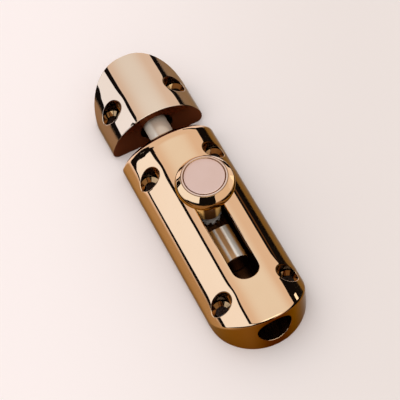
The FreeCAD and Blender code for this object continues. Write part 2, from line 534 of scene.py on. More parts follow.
@dataclass(frozen=True)
class HalfRoundBody:
    """A half-round bar with one rounded, leaning end wall and one upright end face.

    Its own lengths run from the rounded end (0) to the upright face (length).

    Attributes:
        end_x: Place of the rounded end in the latch's frame.
        towards: +1 where the bar runs to +X from its rounded end, else -1.
        roll_radius: Radius of the crown's roll to the upright face, or 0 for a plain cut.
        roll_reach: Length at the upright face that holds the roll.
        step: Distance between points across the crown and the walls.
        row_step: Distance between rows of points along the crown.
        roll_step: The same over the roll.
        clear: Distance that those points keep from an edge.
        end_points: Number of points along the foot of the rounded end.
        base_points: Number of points along the foot of the upright face.
    """

    end_x: float
    towards: int
    length: float
    end_flat: float
    holes: ScrewHoles
    section: HalfRoundSection = HalfRoundSection()
    end_lean: float = 0.8
    roll_radius: float = 0.0
    roll_turn: float = 60.0
    side_roll_turn: float = 85.0
    side_roll_radius: float = 0.8
    roll_reach: float = 1.0
    face_edge: float = 0.25
    wall_edge: float = 0.12
    step: float = 0.5
    row_step: float = 0.9
    roll_step: float = 0.22
    foot_step: float = 1.2
    clear: float = 0.12
    end_points: int = 60
    base_points: int = 28

    @property
    def corner_radius(self) -> float:
        """Plan radius of the rounded end's corners."""
        return (self.section.width - self.end_flat) / 2

    @property
    def top(self) -> Face:
        """The crown, sides and feet."""
        return Face(self.outer, self.outer_normal)

    @property
    def end_wall(self) -> Face:
        """The rounded end wall."""
        return Face(self.wall, self.wall_normal)

    def place(self, points: Array, normals: Array) -> Row:
        """Take points and normals from the bar's own lengths to the latch's frame."""
        turn = np.array([self.towards, 1.0, 1.0])
        return points * turn + np.array([self.end_x, 0.0, 0.0]), normals * turn

    def roll(self, s: Array) -> tuple[Array, Array, Array]:
        """Shape of the roll to the upright face.

        Args:
            s: Lengths on the section.

        Returns:
            Radius and turn of the roll, and radius of the small edge that follows it.
        """
        least = 1e-4
        turned = self.section.turn(s)
        fade = ease((np.pi - turned) / (np.pi / 3))
        edge = self.face_edge * fade + least
        if self.roll_radius == 0:
            return np.full_like(turned, least), np.full_like(turned, 0.01), edge
        upright = np.clip(np.cos(turned), 0, 1) ** 2
        radius = self.side_roll_radius + (self.roll_radius - self.side_roll_radius) * upright
        full = self.side_roll_turn + (self.roll_turn - self.side_roll_turn) * upright
        return radius * fade + least, np.radians(full), edge

    def outer(self, u: Array, s: Array) -> Array:
        """Point on the crown, sides and feet.

        Args:
            u: Length from the rounded end, measured over the roll at the far end.
            s: Length on the section.

        Returns:
            Rows of x, y and z.
        """
        y, z, normal_y, normal_z = self.section.at(s)
        radius, full, edge = self.roll(s)
        start = self.length - self.roll_reach
        plain = self.roll_reach - radius * np.sin(full) - edge * (1 - np.sin(full))
        rolled = radius * full
        total = plain + rolled + edge * (np.pi / 2 - full)
        along = (u - start) / self.roll_reach * total
        angle = np.clip(along - plain, 0, rolled) / radius
        rest = np.maximum(along - plain - rolled, 0) / edge
        x = np.where(u <= start, u, start + np.minimum(along, plain) + radius * np.sin(angle))
        x = x + edge * (np.sin(full + rest) - np.sin(full)) * (rest > 0)
        inward = radius * (1 - np.cos(angle)) + edge * (np.cos(full) - np.cos(full + rest)) * (rest > 0)
        for hole_x, hole_y in self.holes.places:
            away = np.hypot(x - hole_x, y - hole_y) - self.holes.recess_radius
            dish = self.holes.dish_depth * self.foot_fade(z - 2.0)
            inward = inward + dish * np.exp(-np.maximum(away, 0) / self.holes.dish_width)
        return columns(x, y - normal_y * inward, z - normal_z * inward)

    def outer_normal(self, u: Array, s: Array) -> Array:
        """Normal of the crown, sides and feet, from the surface's own slopes.

        Args:
            u: Length from the rounded end, as for outer.
            s: Length on the section.

        Returns:
            Rows of unit normals.
        """
        small = 1e-3
        reach = self.section.reach
        along = self.outer(u + small, s) - self.outer(u - small, s)
        across = self.outer(u, np.minimum(s + small, reach)) - self.outer(u, np.maximum(s - small, -reach))
        normal = unit(np.cross(along, across))
        guess = columns(0.3, *self.section.at(s)[2:])
        return normal * np.where((normal * guess).sum(-1, keepdims=True) < 0, -1.0, 1.0)

    def wall_plan(self, t: Array) -> tuple[Array, Array, Array]:
        """Plan of the rounded end wall.

        Args:
            t: Length along the wall from its middle.

        Returns:
            x, y and the wall's turn from the end.
        """
        flat = self.end_flat / 2
        turned = np.maximum(np.abs(t) - flat, 0) / self.corner_radius
        y = np.where(np.abs(t) < flat, np.abs(t), flat + self.corner_radius * np.sin(turned))
        return self.corner_radius * (1 - np.cos(turned)), np.sign(t) * y, np.sign(t) * turned

    def wall_length(self, y: Array) -> Array:
        """Length along the rounded end wall.

        Args:
            y: Places across the bar.

        Returns:
            The length t at each place.
        """
        flat = self.end_flat / 2
        share = np.clip((np.abs(y) - flat) / self.corner_radius, 0, 1)
        bent = flat + self.corner_radius * np.arcsin(share)
        return np.sign(y) * np.where(np.abs(y) < flat, np.abs(y), bent)

    def wall(self, t: Array, z: Array) -> Array:
        """Point on the rounded end wall."""
        x, y, _ = self.wall_plan(t)
        return columns(x + self.end_lean * z / self.section.height, y, z)

    def wall_normal(self, t: Array, z: Array) -> Array:
        """Normal of the rounded end wall.

        Args:
            t: Length along the wall.
            z: Height on it.

        Returns:
            Rows of unit normals.
        """
        _, _, turned = self.wall_plan(t)
        tip = np.cos(turned) * self.end_lean / self.section.height
        return unit(columns(-np.cos(turned), np.sin(turned), tip + 0 * z))

    def end_edge(self) -> tuple[Rim, Rim, Row]:
        """The edge between the crown and the rounded end wall, slightly rounded.

        Returns:
            The open rims on the crown's and on the wall's side, then the points and normals between.
        """
        reach = self.section.reach
        crown = self.section.marks[0] * 0.8
        half = np.concatenate([np.arange(0, crown, self.step * 0.7), np.linspace(crown, reach, 90)])
        s = np.concatenate([-half[:0:-1], half])
        y, z, normal_y, normal_z = self.section.at(s)
        t = self.wall_length(y)
        corner = self.wall(t, z)
        upward = columns(0.0, normal_y, normal_z)
        wall = self.wall_normal(t, z)
        bend = np.arccos(np.clip((upward * wall).sum(-1), -1, 1))
        size = self.wall_edge * np.sin(bend / 2) * math.sqrt(2) * self.foot_fade(z) + 0.01
        on_top = self.inset(columns(corner[:, 0], s), size)
        on_top[:, 1] = np.clip(on_top[:, 1], 0.02 - reach, reach - 0.02)
        on_top[[0, -1], 1] = [-reach, reach]
        on_wall = self.inset(columns(t, z), size)
        on_wall[[0, -1], 1] = 0.0
        middle_normal = unit(upward + wall)
        middle = corner - middle_normal * (size * np.tan(bend / 4))[:, None]
        middle[[0, -1], 2] = 0.0
        return self.top.rim(on_top), self.end_wall.rim(on_wall), (middle, middle_normal)

    @staticmethod
    def foot_fade(z: Array) -> Array:
        """Share of an edge's rounding that is left at height z, dying out over the foot."""
        return ease((z - 0.3) / 2.5)

    @staticmethod
    def inset(line: Array, size: Array) -> Array:
        """Move an open line to its right.

        Args:
            line: Flat points in order.
            size: How far each point moves.

        Returns:
            The moved points.
        """
        along = unit(np.gradient(line, axis=0))
        return line + columns(along[:, 1], -along[:, 0]) * size[:, None]

    def build_outside(
        self, shell: Shell, top_rims: list[Rim], wall_rims: list[Rim], face_rims: list[Rim]
    ) -> None:
        """Add the outside of the bar.

        Args:
            shell: Mesh that gets the patches.
            top_rims: Rims of openings in the crown.
            wall_rims: Rims of openings in the rounded end wall.
            face_rims: Rims of openings in the upright face.
        """
        crown, reach = self.section.marks[0], self.section.reach
        roll_start = self.length - self.roll_reach
        crown_rim, wall_rim, middle = self.end_edge()
        shell.tube([crown_rim.row, middle, wall_rim.row], False)
        half = np.concatenate([np.arange(0, crown, self.step), np.linspace(crown, reach, 24)])
        front = columns(self.length, np.concatenate([-half[:0:-1], half]))
        plain_feet = np.arange(crown_rim.flat[0, 0], roll_start, self.foot_step)[1:]
        feet = np.concatenate([plain_feet, np.linspace(roll_start, self.length, 14)[:-1]])
        left, right = columns(feet[::-1], reach), columns(feet, -reach)
        rim = self.top.rim(np.concatenate([front, left, crown_rim.flat[::-1], right]))
        across = np.arange(-reach, reach, self.step)
        roll_rows = np.linspace(roll_start, self.length, int(self.roll_reach / self.roll_step) + 3)[1:-1]
        grids = [pairs(np.arange(0.3, roll_start, self.row_step), across), pairs(roll_rows, across)]
        grids += [self.dish_grid(place) for place in self.holes.places]
        shell.patch([rim] + top_rims, np.concatenate(grids), self.top, self.clear)
        self.build_wall(shell, wall_rim, wall_rims)
        face = rim.points[: len(front)]
        base_y = np.linspace(face[-1, 1], face[0, 1], self.base_points)[1:-1]
        base = columns(self.length, base_y, 0.0)
        self.build_face(shell, np.concatenate([face, base]), face_rims)
        left_foot = [rim.points[len(front) : len(front) + len(left)], crown_rim.points[-1:], middle[0][-1:]]
        right_foot = [middle[0][:1], crown_rim.points[:1], rim.points[-len(right) :]]
        ground = [*left_foot, self.wall_base(wall_rim)[::-1], *right_foot, face[:1], base[::-1], face[-1:]]
        self.build_ground(shell, np.concatenate(ground))

    def dish_grid(self, place: Spot) -> Array:
        """Grid points round a screw hole.

        Args:
            place: Middle of the hole.

        Returns:
            Rings of points in the crown's coordinates.
        """
        rows = []
        for more in self.holes.dish_rings:
            spots = ring(self.holes.recess_radius + more, self.holes.dish_points, place)
            spots = spots[np.abs(spots[:, 1]) < self.section.width / 2 - 0.05]
            rows.append(columns(spots[:, 0], self.section.length_at(spots[:, 1])))
        return np.concatenate(rows)

    def wall_foot(self, first: float, last: float) -> Array:
        """Lengths between two places along the foot of the rounded end wall."""
        return np.linspace(first, last, self.end_points)[1:-1]

    def wall_base(self, wall_rim: Rim) -> Array:
        """Points along the foot of the rounded end wall, from the right foot to the left."""
        between = self.wall(self.wall_foot(wall_rim.flat[0, 0], wall_rim.flat[-1, 0]), 0.0)
        return np.concatenate([wall_rim.points[:1], between, wall_rim.points[-1:]])

    def build_wall(self, shell: Shell, wall_rim: Rim, openings: list[Rim]) -> None:
        """Add the rounded end wall.

        Args:
            shell: Mesh that gets it.
            wall_rim: Its open upper rim.
            openings: Rims of the openings in it.
        """
        foot = columns(self.wall_foot(wall_rim.flat[-1, 0], wall_rim.flat[0, 0]), 0.0)
        rim = self.end_wall.rim(np.concatenate([wall_rim.flat, foot]))
        rim.points[: len(wall_rim.points)] = wall_rim.points
        grid = pairs(np.arange(-24, 24, self.step), np.arange(0.4, self.section.height, 0.8))
        shell.patch([rim] + openings, grid, self.end_wall, self.clear)

    def build_face(self, shell: Shell, outline: Array, openings: list[Rim]) -> None:
        """Add the upright end face.

        Args:
            shell: Mesh that gets it.
            outline: Points round it.
            openings: Rims of the openings in it.
        """
        rim = Rim(outline[:, 1:], outline, facing(AHEAD, len(outline)))
        grid = pairs(np.arange(-14, 15, 1.0), np.arange(0.5, self.section.height, 1.0))
        shell.patch([rim] + openings, grid, plane(lambda y, z: columns(self.length, y, z), AHEAD), 0.3)

    def build_ground(self, shell: Shell, outline: Array) -> None:
        """Add the flat underside, with the screw holes' lower ends.

        Args:
            shell: Mesh that gets it.
            outline: Points round it.
        """
        holes = self.holes
        ground = plane(lambda x, y: columns(x, y, 0.0), DOWN)
        rims = [Rim(outline[:, :2], outline, facing(DOWN, len(outline)))]
        rims += [ground.rim(ring(holes.hole_radius, holes.points, place)) for place in holes.places]
        grid = pairs(np.arange(1, self.length, 2.0), np.arange(-13, 14, 2.0))
        shell.patch(rims, grid, ground, 0.5)

    def rounded_rim(self, shell: Shell, spots: Array, outward: Array, size: float) -> tuple[Rim, Row]:
        """Round the edge between the crown and an upright cut.

        Args:
            shell: Mesh that gets the rounded strip.
            spots: Plan points of the cut, in order.
            outward: Unit plan directions from the cut into the metal.
            size: Width of the rounded strip.

        Returns:
            The rim left in the crown, then the points and normals at the top of the cut's wall.
        """
        away = spots + outward * size
        rim = self.top.rim(columns(away[:, 0], self.section.length_at(away[:, 1])))
        corner = self.outer(spots[:, 0], self.section.length_at(spots[:, 1]))
        wall = -columns(*outward.T, 0.0)
        top = columns(*spots.T, corner[:, 2] - size)
        middle = corner + ROUND_MIDDLE * ((rim.points + top) / 2 - corner)
        shell.tube([rim.row, (middle, unit(rim.normals + wall)), (top, wall)])
        return rim, (top, wall)

    def drill(self, shell: Shell) -> list[Rim]:
        """Add the insides of the screw holes.

        Args:
            shell: Mesh that gets the holes.

        Returns:
            The rims that they leave in the crown.
        """
        rims = []
        holes = self.holes
        seat_height = holes.recess_floor - (holes.recess_radius - holes.hole_radius)
        for place in holes.places:
            wide = ring(holes.recess_radius, holes.points, place)
            narrow = ring(holes.hole_radius, holes.points, place)
            rim, (top, wall) = self.rounded_rim(shell, wide, ring(1.0, holes.points), holes.rim_radius)
            rims.append(rim)
            floor = columns(*wide.T, np.minimum(holes.recess_floor, top[:, 2] - 0.02))
            seat = columns(*narrow.T, seat_height)
            slope = unit(wall + UP)
            shell.finish_slot = SHADED_RECESS
            shell.band((top, wall), (floor, wall))
            shell.band((floor, slope), (seat, slope))
            shell.finish_slot = SHADED_BORE
            shell.band((seat, wall), (columns(*narrow.T, 0.0), wall))
            shell.finish_slot = OUTSIDE
        return rims

    def round_opening(
        self, shell: Shell, radius: float, height: float, edge: float, points: int
    ) -> tuple[Rim, Row]:
        """Round the edge of a bore in the upright face.

        Args:
            shell: Mesh that gets the rounded strip.
            radius: Radius of the bore.
            height: Height of its axis.
            edge: Size of the rounded edge.
            points: Number of points round it.

        Returns:
            The rim left in the face, then the points and normals at the start of the bore's wall.
        """
        face, inner = facing(AHEAD, points), hoop_inward(points)
        wide = hoop(self.length, radius + edge, height, points)
        pull = ROUND_MIDDLE / 2 * edge
        middle = hoop(self.length - pull, radius + pull, height, points)
        start = hoop(self.length - edge, radius, height, points)
        rim = Rim(wide[:, 1:], wide, face)
        shell.tube([rim.row, (middle, unit(face + inner)), (start, inner)])
        return rim, (start, inner)


@dataclass(frozen=True)
class Casing:
    """The casing: half-round body, open channel, close guide, slot and four screw holes."""

    bar: HalfRoundBody = HalfRoundBody(
        end_x=-51.25,
        towards=1,
        length=72.4,
        end_flat=0.4,
        holes=ScrewHoles(((13.7, 10.5), (13.7, -10.5), (60.8, 10.5), (60.8, -10.5))),
        roll_radius=6.0,
        roll_reach=6.5,
        wall_edge=0.8,
    )
    channel_radius: float = 5.315
    channel_height: float = 8.285
    guide_radius: float = 3.83
    guide_height: float = 7.0
    guide_length: float = 10.0
    guide_edge: float = 0.2
    slot_start: float = 15.3
    slot_length: float = 31.6
    slot_width: float = 8.0
    slot_edge: float = 0.3
    tail_opening_edge: float = 0.15
    points: int = 128

    @property
    def guide_start(self) -> float:
        """Length at which the close guide starts."""
        return self.bar.length - self.guide_length

    @property
    def channel_wall(self) -> Face:
        """The channel's wall, by its length and its arc from the top."""
        return Face(self.channel, self.channel_normal)

    def channel(self, x: Array, arc: Array) -> Array:
        """Point on the channel's wall."""
        return columns(x, 0.0, self.channel_height) - self.channel_radius * self.channel_normal(x, arc)

    def channel_normal(self, x: Array, arc: Array) -> Array:
        """Normal of the channel's wall, towards its axis."""
        turned = arc / self.channel_radius
        return columns(0 * x, -np.sin(turned), -np.cos(turned))

    def slot_outline(self) -> Row:
        """Plan points of the slot and the directions out of it.

        Returns:
            Both, in order round the slot.
        """
        radius = self.slot_width / 2
        first, last = self.slot_start + radius, self.slot_start + self.slot_length - radius
        turn = np.linspace(-np.pi / 2, np.pi / 2, 41)
        front = columns(last + radius * np.cos(turn), radius * np.sin(turn))
        back = columns(first - radius * np.cos(turn), -radius * np.sin(turn))
        run = np.linspace(first, last, 50)[1:-1]
        spots = np.concatenate([front, columns(run[::-1], radius), back, columns(run, -radius)])
        return spots, unit(spots - columns(np.clip(spots[:, 0], first, last), 0.0))

    def build(self) -> Piece:
        """Make the casing's mesh.

        Returns:
            The new piece.
        """
        shell = Shell()
        bar = self.bar
        rims = bar.drill(shell)
        spots, outward = self.slot_outline()
        slot_rim, (slot_top, slot_wall) = bar.rounded_rim(shell, spots, outward, self.slot_edge)
        arc = self.channel_radius * np.arcsin(spots[:, 1] / self.channel_radius)
        slot_low = self.channel_wall.rim(columns(spots[:, 0], arc))
        shell.finish_slot = SHADED_BORE
        shell.band((slot_top, slot_wall), (slot_low.points, slot_wall))
        shell.finish_slot = OUTSIDE
        tail_rim, tail_start = self.tail_opening(shell)
        half = self.channel_radius * np.pi
        run = np.linspace(self.guide_start, tail_start.flat[-1, 0], 60)[1:-1]
        end = columns(self.guide_start, np.linspace(-half, half, self.points + 1))
        left, right = columns(run, half), columns(run[::-1], -half)
        outline = self.channel_wall.rim(np.concatenate([end, left, tail_start.flat[::-1], right]))
        grid = pairs(np.arange(0.5, self.guide_start, 1.0), np.arange(-half, half, 0.45))
        shell.finish_slot = SHADED_BORE
        shell.patch([outline, slot_low], grid, self.channel_wall, 0.15)
        face_rim = self.build_guide(shell, outline.points[: self.points])
        shell.finish_slot = OUTSIDE
        bar.build_outside(shell, rims + [slot_rim], [tail_rim], [face_rim])
        return shell.finish("casing_body", bar.place)

    def tail_opening(self, shell: Shell) -> tuple[Rim, Rim]:
        """Round the channel's edge in the tail wall.

        Args:
            shell: Mesh that gets the rounded strip.

        Returns:
            The rim left in the wall, and the open rim at the start of the channel's own wall.
        """
        bar = self.bar
        edge = self.tail_opening_edge
        turned = np.linspace(-np.pi, np.pi, self.points + 1)
        arcs = turned * self.channel_radius
        wide = self.channel_radius + edge
        wide_y, wide_z = wide * np.sin(turned), self.channel_height + wide * np.cos(turned)
        rim = bar.end_wall.rim(columns(bar.wall_length(wide_y), wide_z)[:-1])
        _, plain_y, plain_z = self.channel(0.0, arcs).T
        corner = bar.wall(bar.wall_length(plain_y), plain_z)
        start = self.channel_wall.rim(columns(corner[:, 0] + edge, arcs))
        points, normals, corner = start.points[:-1], start.normals[:-1], corner[:-1]
        middle = corner + ROUND_MIDDLE * ((rim.points + points) / 2 - corner)
        shell.tube([rim.row, (middle, unit(rim.normals + normals)), (points, normals)])
        return rim, start

    def build_guide(self, shell: Shell, channel_end: Array) -> Rim:
        """Add the step at the channel's end and the close guide in front of it.

        Args:
            shell: Mesh that gets them.
            channel_end: Points round the channel's end.

        Returns:
            The rim that the guide leaves in the front face.
        """
        radius, height = self.guide_radius, self.guide_height
        turned = np.linspace(-np.pi, np.pi, self.points + 1)[:-1]
        step = columns(self.guide_start, np.sin(turned) * radius, np.cos(turned) * radius + height)
        back = facing((-1.0, 0.0, 0.0), self.points)
        shell.band((channel_end, back), (step, back))
        rim, (end, inner) = self.bar.round_opening(shell, radius, height, self.guide_edge, self.points)
        shell.band((hoop(self.guide_start, radius, height, self.points), inner), (end, inner))
        return rim


@dataclass(frozen=True)
class Keeper:
    """The keeper: a short half-round body with a blind, wide-mouthed bore and two screw holes."""

    bar: HalfRoundBody = HalfRoundBody(
        end_x=51.25,
        towards=-1,
        length=24.0,
        end_flat=2.8,
        holes=ScrewHoles(((14.8, 10.5), (14.8, -10.5))),
        face_edge=0.18,
    )
    mouth_radius: float = 5.3
    mouth_depth: float = 4.0
    mouth_edge: float = 0.2
    bore_radius: float = 4.0
    bore_depth: float = 16.5
    bore_height: float = 7.0
    points: int = 128

    def build(self) -> Piece:
        """Make the keeper's mesh.

        Returns:
            The new piece.
        """
        shell = Shell()
        bar = self.bar
        rims = bar.drill(shell)
        height, count = self.bore_height, self.points
        mouth = self.mouth_radius
        face_rim, (start, inner) = bar.round_opening(shell, mouth, height, self.mouth_edge, count)
        step, end = bar.length - self.mouth_depth, bar.length - self.bore_depth
        mouth_end = hoop(step, mouth, height, count)
        bore_start = hoop(step, self.bore_radius, height, count)
        bore_end = hoop(end, self.bore_radius, height, count)
        face = facing(AHEAD, count)
        shell.finish_slot = SHADED_BORE
        shell.band((start, inner), (mouth_end, inner))
        shell.band((mouth_end, face), (bore_start, face))
        shell.band((bore_start, inner), (bore_end, inner))
        shell.band((bore_end, face), (hoop(end, 0.0, height, count), face))
        shell.finish_slot = OUTSIDE
        bar.build_outside(shell, rims, [], [face_rim])
        return shell.finish("keeper_body", bar.place)


@dataclass(frozen=True)
class BoltRod:
    """The round bolt: chamfered ends and a flat seat, cut across its top, for the washers."""

    tail_x: float = -26.5
    nose_x: float = 42.25
    radius: float = 3.75
    axis_height: float = 7.0
    nose_chamfer: float = 1.0
    tail_chamfer: float = 0.3
    knob_x: float = -8.25
    seat_radius: float = 6.9
    seat_height: float = 7.45
    hole_radius: float = 2.02
    hole_points: int = 64
    points: int = 144
    curve_points: int = 41
    side_points: int = 28

    @property
    def skin(self) -> Face:
        """The rod's skin, by its x and its arc from the underside."""
        return Face(self.skin_point, self.skin_normal)

    @property
    def turns(self) -> Array:
        """Angles round the rod from its underside, starting at its right."""
        return np.linspace(-np.pi / 2, 3 * np.pi / 2, self.points + 1)

    def skin_point(self, x: Array, arc: Array) -> Array:
        """Point on the rod's skin."""
        return columns(x, 0.0, self.axis_height) + self.radius * self.skin_normal(x, arc)

    def skin_normal(self, x: Array, arc: Array) -> Array:
        """Normal of the rod's skin."""
        turned = arc / self.radius
        return columns(0 * x, np.sin(turned), -np.cos(turned))

    def end(self, shell: Shell, x: float, chamfer: float, towards: int) -> None:
        """Add a chamfered end.

        Args:
            shell: Mesh that gets the end.
            x: Place of the end face.
            chamfer: Size of the chamfer.
            towards: +1 for the nose, -1 for the tail.
        """
        turned = self.turns[:-1]
        around = columns(0.0, np.sin(turned), -np.cos(turned))
        along = facing((float(towards), 0.0, 0.0), self.points)
        middle = np.array([x, 0.0, self.axis_height])
        rows = [(self.skin_point(x - towards * chamfer, turned * self.radius), around)]
        soft = 0.08 * chamfer
        for cut, slope in ((soft, 0.35), (chamfer - soft, 0.65)):
            spots = middle - along * (chamfer - cut) + around * (self.radius - cut)
            rows.append((spots, unit(around * (1 - slope) + along * slope)))
        rows.append((middle + around * (self.radius - chamfer), along))
        shell.tube(rows)
        shell.band(rows[-1], (facing(middle, self.points), along))

    def seat_outline(self) -> Array:
        """Plan points of the seat cut, from the curve at its nose side round to the right.

        Returns:
            Two curves of curve_points, each followed by a straight side of side_points.
        """
        half = math.sqrt(self.radius**2 - (self.seat_height - self.axis_height) ** 2)
        turn = math.asin(half / self.seat_radius)
        curve = np.linspace(-turn, turn, self.curve_points)
        front = columns(self.seat_radius * np.cos(curve), self.seat_radius * np.sin(curve))
        run = np.linspace(front[-1, 0], -front[-1, 0], self.side_points + 2)[1:-1]
        left = columns(run, half)
        return np.concatenate([front, left, -front, -left]) + np.array([self.knob_x, 0.0])

    def build(self) -> Piece:
        """Make the rod's mesh.

        Returns:
            The new piece.
        """
        shell = Shell()
        spots = self.seat_outline()
        rise = np.sqrt(self.radius**2 - spots[:, 1] ** 2)
        turned = np.arctan2(spots[:, 1], -rise)
        arc = np.where(turned < -np.pi / 2, turned + 2 * np.pi, turned) * self.radius
        cut = self.skin.rim(columns(spots[:, 0], arc))
        low = columns(*spots.T, self.seat_height)
        shell.finish_slot = SHADED_BORE
        for start in (0, self.curve_points + self.side_points):
            part = slice(start, start + self.curve_points)
            inner = -columns(*unit(spots[part] - np.array([self.knob_x, 0.0])).T, 0.0)
            shell.band((cut.points[part], inner), (low[part], inner), False)
        bottom = self.build_floor(shell, low)
        shell.finish_slot = OUTSIDE
        first, last = self.tail_x + self.tail_chamfer, self.nose_x - self.nose_chamfer
        arcs = self.turns * self.radius
        run = np.linspace(first, last, 80)[1:-1]
        nose, tail = columns(last, arcs), columns(first, arcs[::-1])
        left, right = columns(run[::-1], arcs[-1]), columns(run, arcs[0])
        rim = self.skin.rim(np.concatenate([nose, left, tail, right]))
        grid = pairs(np.arange(first, last, 1.0), arcs[1:-1])
        shell.patch([rim, cut, bottom], grid, self.skin, 0.08)
        self.end(shell, self.nose_x, self.nose_chamfer, 1)
        shell.finish_slot = SHADED_BORE
        self.end(shell, self.tail_x, self.tail_chamfer, -1)
        return shell.finish("bolt_rod_turned", lambda points, normals: (points, normals))

    def build_floor(self, shell: Shell, low: Array) -> Rim:
        """Add the seat's floor and the tapped hole through it.

        Args:
            shell: Mesh that gets them.
            low: Points round the floor.

        Returns:
            The rim that the hole leaves in the rod's underside.
        """
        hole = ring(self.hole_radius, self.hole_points, (self.knob_x, 0.0))
        inner = -columns(*ring(1.0, self.hole_points).T, 0.0)
        bottom = self.skin.rim(columns(hole[:, 0], np.arcsin(hole[:, 1] / self.radius) * self.radius))
        floor = plane(lambda x, y: columns(x, y, self.seat_height), UP)
        mouth = floor.rim(hole)
        grid = pairs(np.arange(-3.5, 3.6, 0.6) + self.knob_x, np.arange(-3, 3.1, 0.6))
        shell.patch([Rim(low[:, :2], low, facing(UP, len(low))), mouth], grid, floor, 0.2)
        shell.band((mouth.points, inner), (bottom.points, inner))
        return bottom


def spaced(values: dict) -> dict:
    """Values by socket name, which has spaces where a keyword has low lines."""
    return {key.replace("_", " "): value for key, value in values.items()}


class Nodes:
    """A node tree under construction."""

    def __init__(self, tree: bpy.types.NodeTree) -> None:
        """Start on a tree."""
        self.tree = tree

    def feed(self, socket: Socket, value: object) -> None:
        """Lead an output into a socket, or give the socket a value.

        Args:
            socket: The socket.
            value: The output or the value.
        """
        if isinstance(value, Socket):
            self.tree.links.new(value, socket)
        else:
            socket.default_value = value

    def node(self, kind: str, settings: dict | None = None, links: dict | None = None) -> bpy.types.Node:
        """Add a node.

        Args:
            kind: Blender's name of the node type.
            settings: Properties of the node to set.
            links: Socket name or number to the output or value that feeds it.

        Returns:
            The new node.
        """
        made = self.tree.nodes.new(kind)
        for key, value in (settings or {}).items():
            setattr(made, key, value)
        for key, value in (links or {}).items():
            self.feed(made.inputs[key], value)
        return made

    def out(self, kind: str, **links: object) -> Socket:
        """Add a node and return its first output.

        Args:
            kind: Blender's name of the node type.
            links: Output or value that feeds each input, with low lines for spaces in its name.

        Returns:
            The node's first output.
        """
        return self.node(kind, links=spaced(links)).outputs[0]

    def maths(self, operation: str, *terms: Socket | float) -> Socket:
        """Add a sum of one kind and return its result."""
        return self.node("ShaderNodeMath", {"operation": operation}, dict(enumerate(terms))).outputs[0]

    def parts(self, vector: Socket) -> bpy.types.NodeOutputs:
        """The x, y and z of a vector."""
        return self.node("ShaderNodeSeparateXYZ", links={0: vector}).outputs

    def dot(self, vector: Socket, direction: Triple) -> Socket:
        """How far a vector points in a direction."""
        links = {0: vector, 1: direction}
        return self.node("ShaderNodeVectorMath", {"operation": "DOT_PRODUCT"}, links).outputs["Value"]

    def spread(self, value: Socket, low: Spot, high: Spot) -> Socket:
        """Map a value smoothly from one range to another.

        Args:
            value: The value.
            low: Where the range starts, and what it gives there.
            high: Where the range ends, and what it gives there.

        Returns:
            The mapped value.
        """
        links = {"Value": value, "From Min": low[0], "From Max": high[0]}
        links |= {"To Min": low[1], "To Max": high[1]}
        return self.node("ShaderNodeMapRange", {"interpolation_type": "SMOOTHSTEP"}, links).outputs[0]

    def mix(self, share: Socket, first: object, second: object) -> Socket:
        """Blend two colours, each a value or an output.

        Args:
            share: Share of the second colour.
            first: First colour.
            second: Second colour.

        Returns:
            The blended colour.
        """
        ends = [end if isinstance(end, Socket) else (*end, 1.0) for end in (first, second)]
        links = {0: share, 6: ends[0], 7: ends[1]}
        return self.node("ShaderNodeMix", {"data_type": "RGBA"}, links).outputs[2]


class ShapeTree(Nodes):
    """A Geometry Nodes tree under construction."""

    def __init__(self, name: str, **sockets: str) -> None:
        """Start a tree.

        Args:
            name: Name of the tree.
            sockets: Name of each input, with low lines for spaces, and its type.
        """
        super().__init__(bpy.data.node_groups.new(name, "GeometryNodeTree"))
        self.inputs: dict[str, str] = {}
        face = self.tree.interface
        for title, kind in spaced({**sockets, "Finish": "Material"}).items():
            made = face.new_socket(title, in_out="INPUT", socket_type="NodeSocket" + kind)
            self.inputs[title] = made.identifier
        face.new_socket("Result", in_out="OUTPUT", socket_type="NodeSocketGeometry")
        self.entry = self.node("NodeGroupInput").outputs

    def end(self, geometry: Socket) -> None:
        """Realize what was made, give it its finish and lead it out.

        Args:
            geometry: What was made.
        """
        smooth = self.out("GeometryNodeSetShadeSmooth", Geometry=geometry)
        real = self.out("GeometryNodeRealizeInstances", Geometry=smooth)
        dressed = self.out("GeometryNodeSetMaterial", Geometry=real, Material=self.entry["Finish"])
        self.node("NodeGroupOutput", links={0: dressed})


class Lathe(ShapeTree):
    """A tree that turns a profile about the upright axis.

    The profile is a row of points whose x is the radius and z the height.
    """

    def __init__(self) -> None:
        """Build the tree."""
        super().__init__("turned_on_a_lathe", Profile="Geometry", Facets="Int")
        profile = self.entry["Profile"]
        rows = self.node("GeometryNodeAttributeDomainSize", links={0: profile}).outputs["Point Count"]
        spaces = self.maths("ADD", self.entry["Facets"], 1.0)
        grid = self.out("GeometryNodeMeshGrid", Size_X=1.0, Size_Y=1.0, Vertices_X=spaces, Vertices_Y=rows)
        place = self.out("GeometryNodeInputPosition")
        across, along, _ = self.parts(place)
        turn = self.maths("MULTIPLY", self.maths("ADD", across, 0.5), 2 * math.pi)
        row = self.maths("MULTIPLY", self.maths("ADD", along, 0.5), self.maths("SUBTRACT", rows, 1.0))
        taken = {"Geometry": profile, "Index": self.maths("ROUND", row), "Value": place}
        settings = {"data_type": "FLOAT_VECTOR", "domain": "POINT"}
        sample = self.node("GeometryNodeSampleIndex", settings, taken)
        radius, _, height = self.parts(sample.outputs[0])
        x = self.maths("MULTIPLY", radius, self.maths("COSINE", turn))
        y = self.maths("MULTIPLY", radius, self.maths("SINE", turn))
        spot = self.out("ShaderNodeCombineXYZ", X=x, Y=y, Z=height)
        bent = self.out("GeometryNodeSetPosition", Geometry=grid, Position=spot)
        self.end(self.out("GeometryNodeMergeByDistance", Geometry=bent, Distance=1e-6))


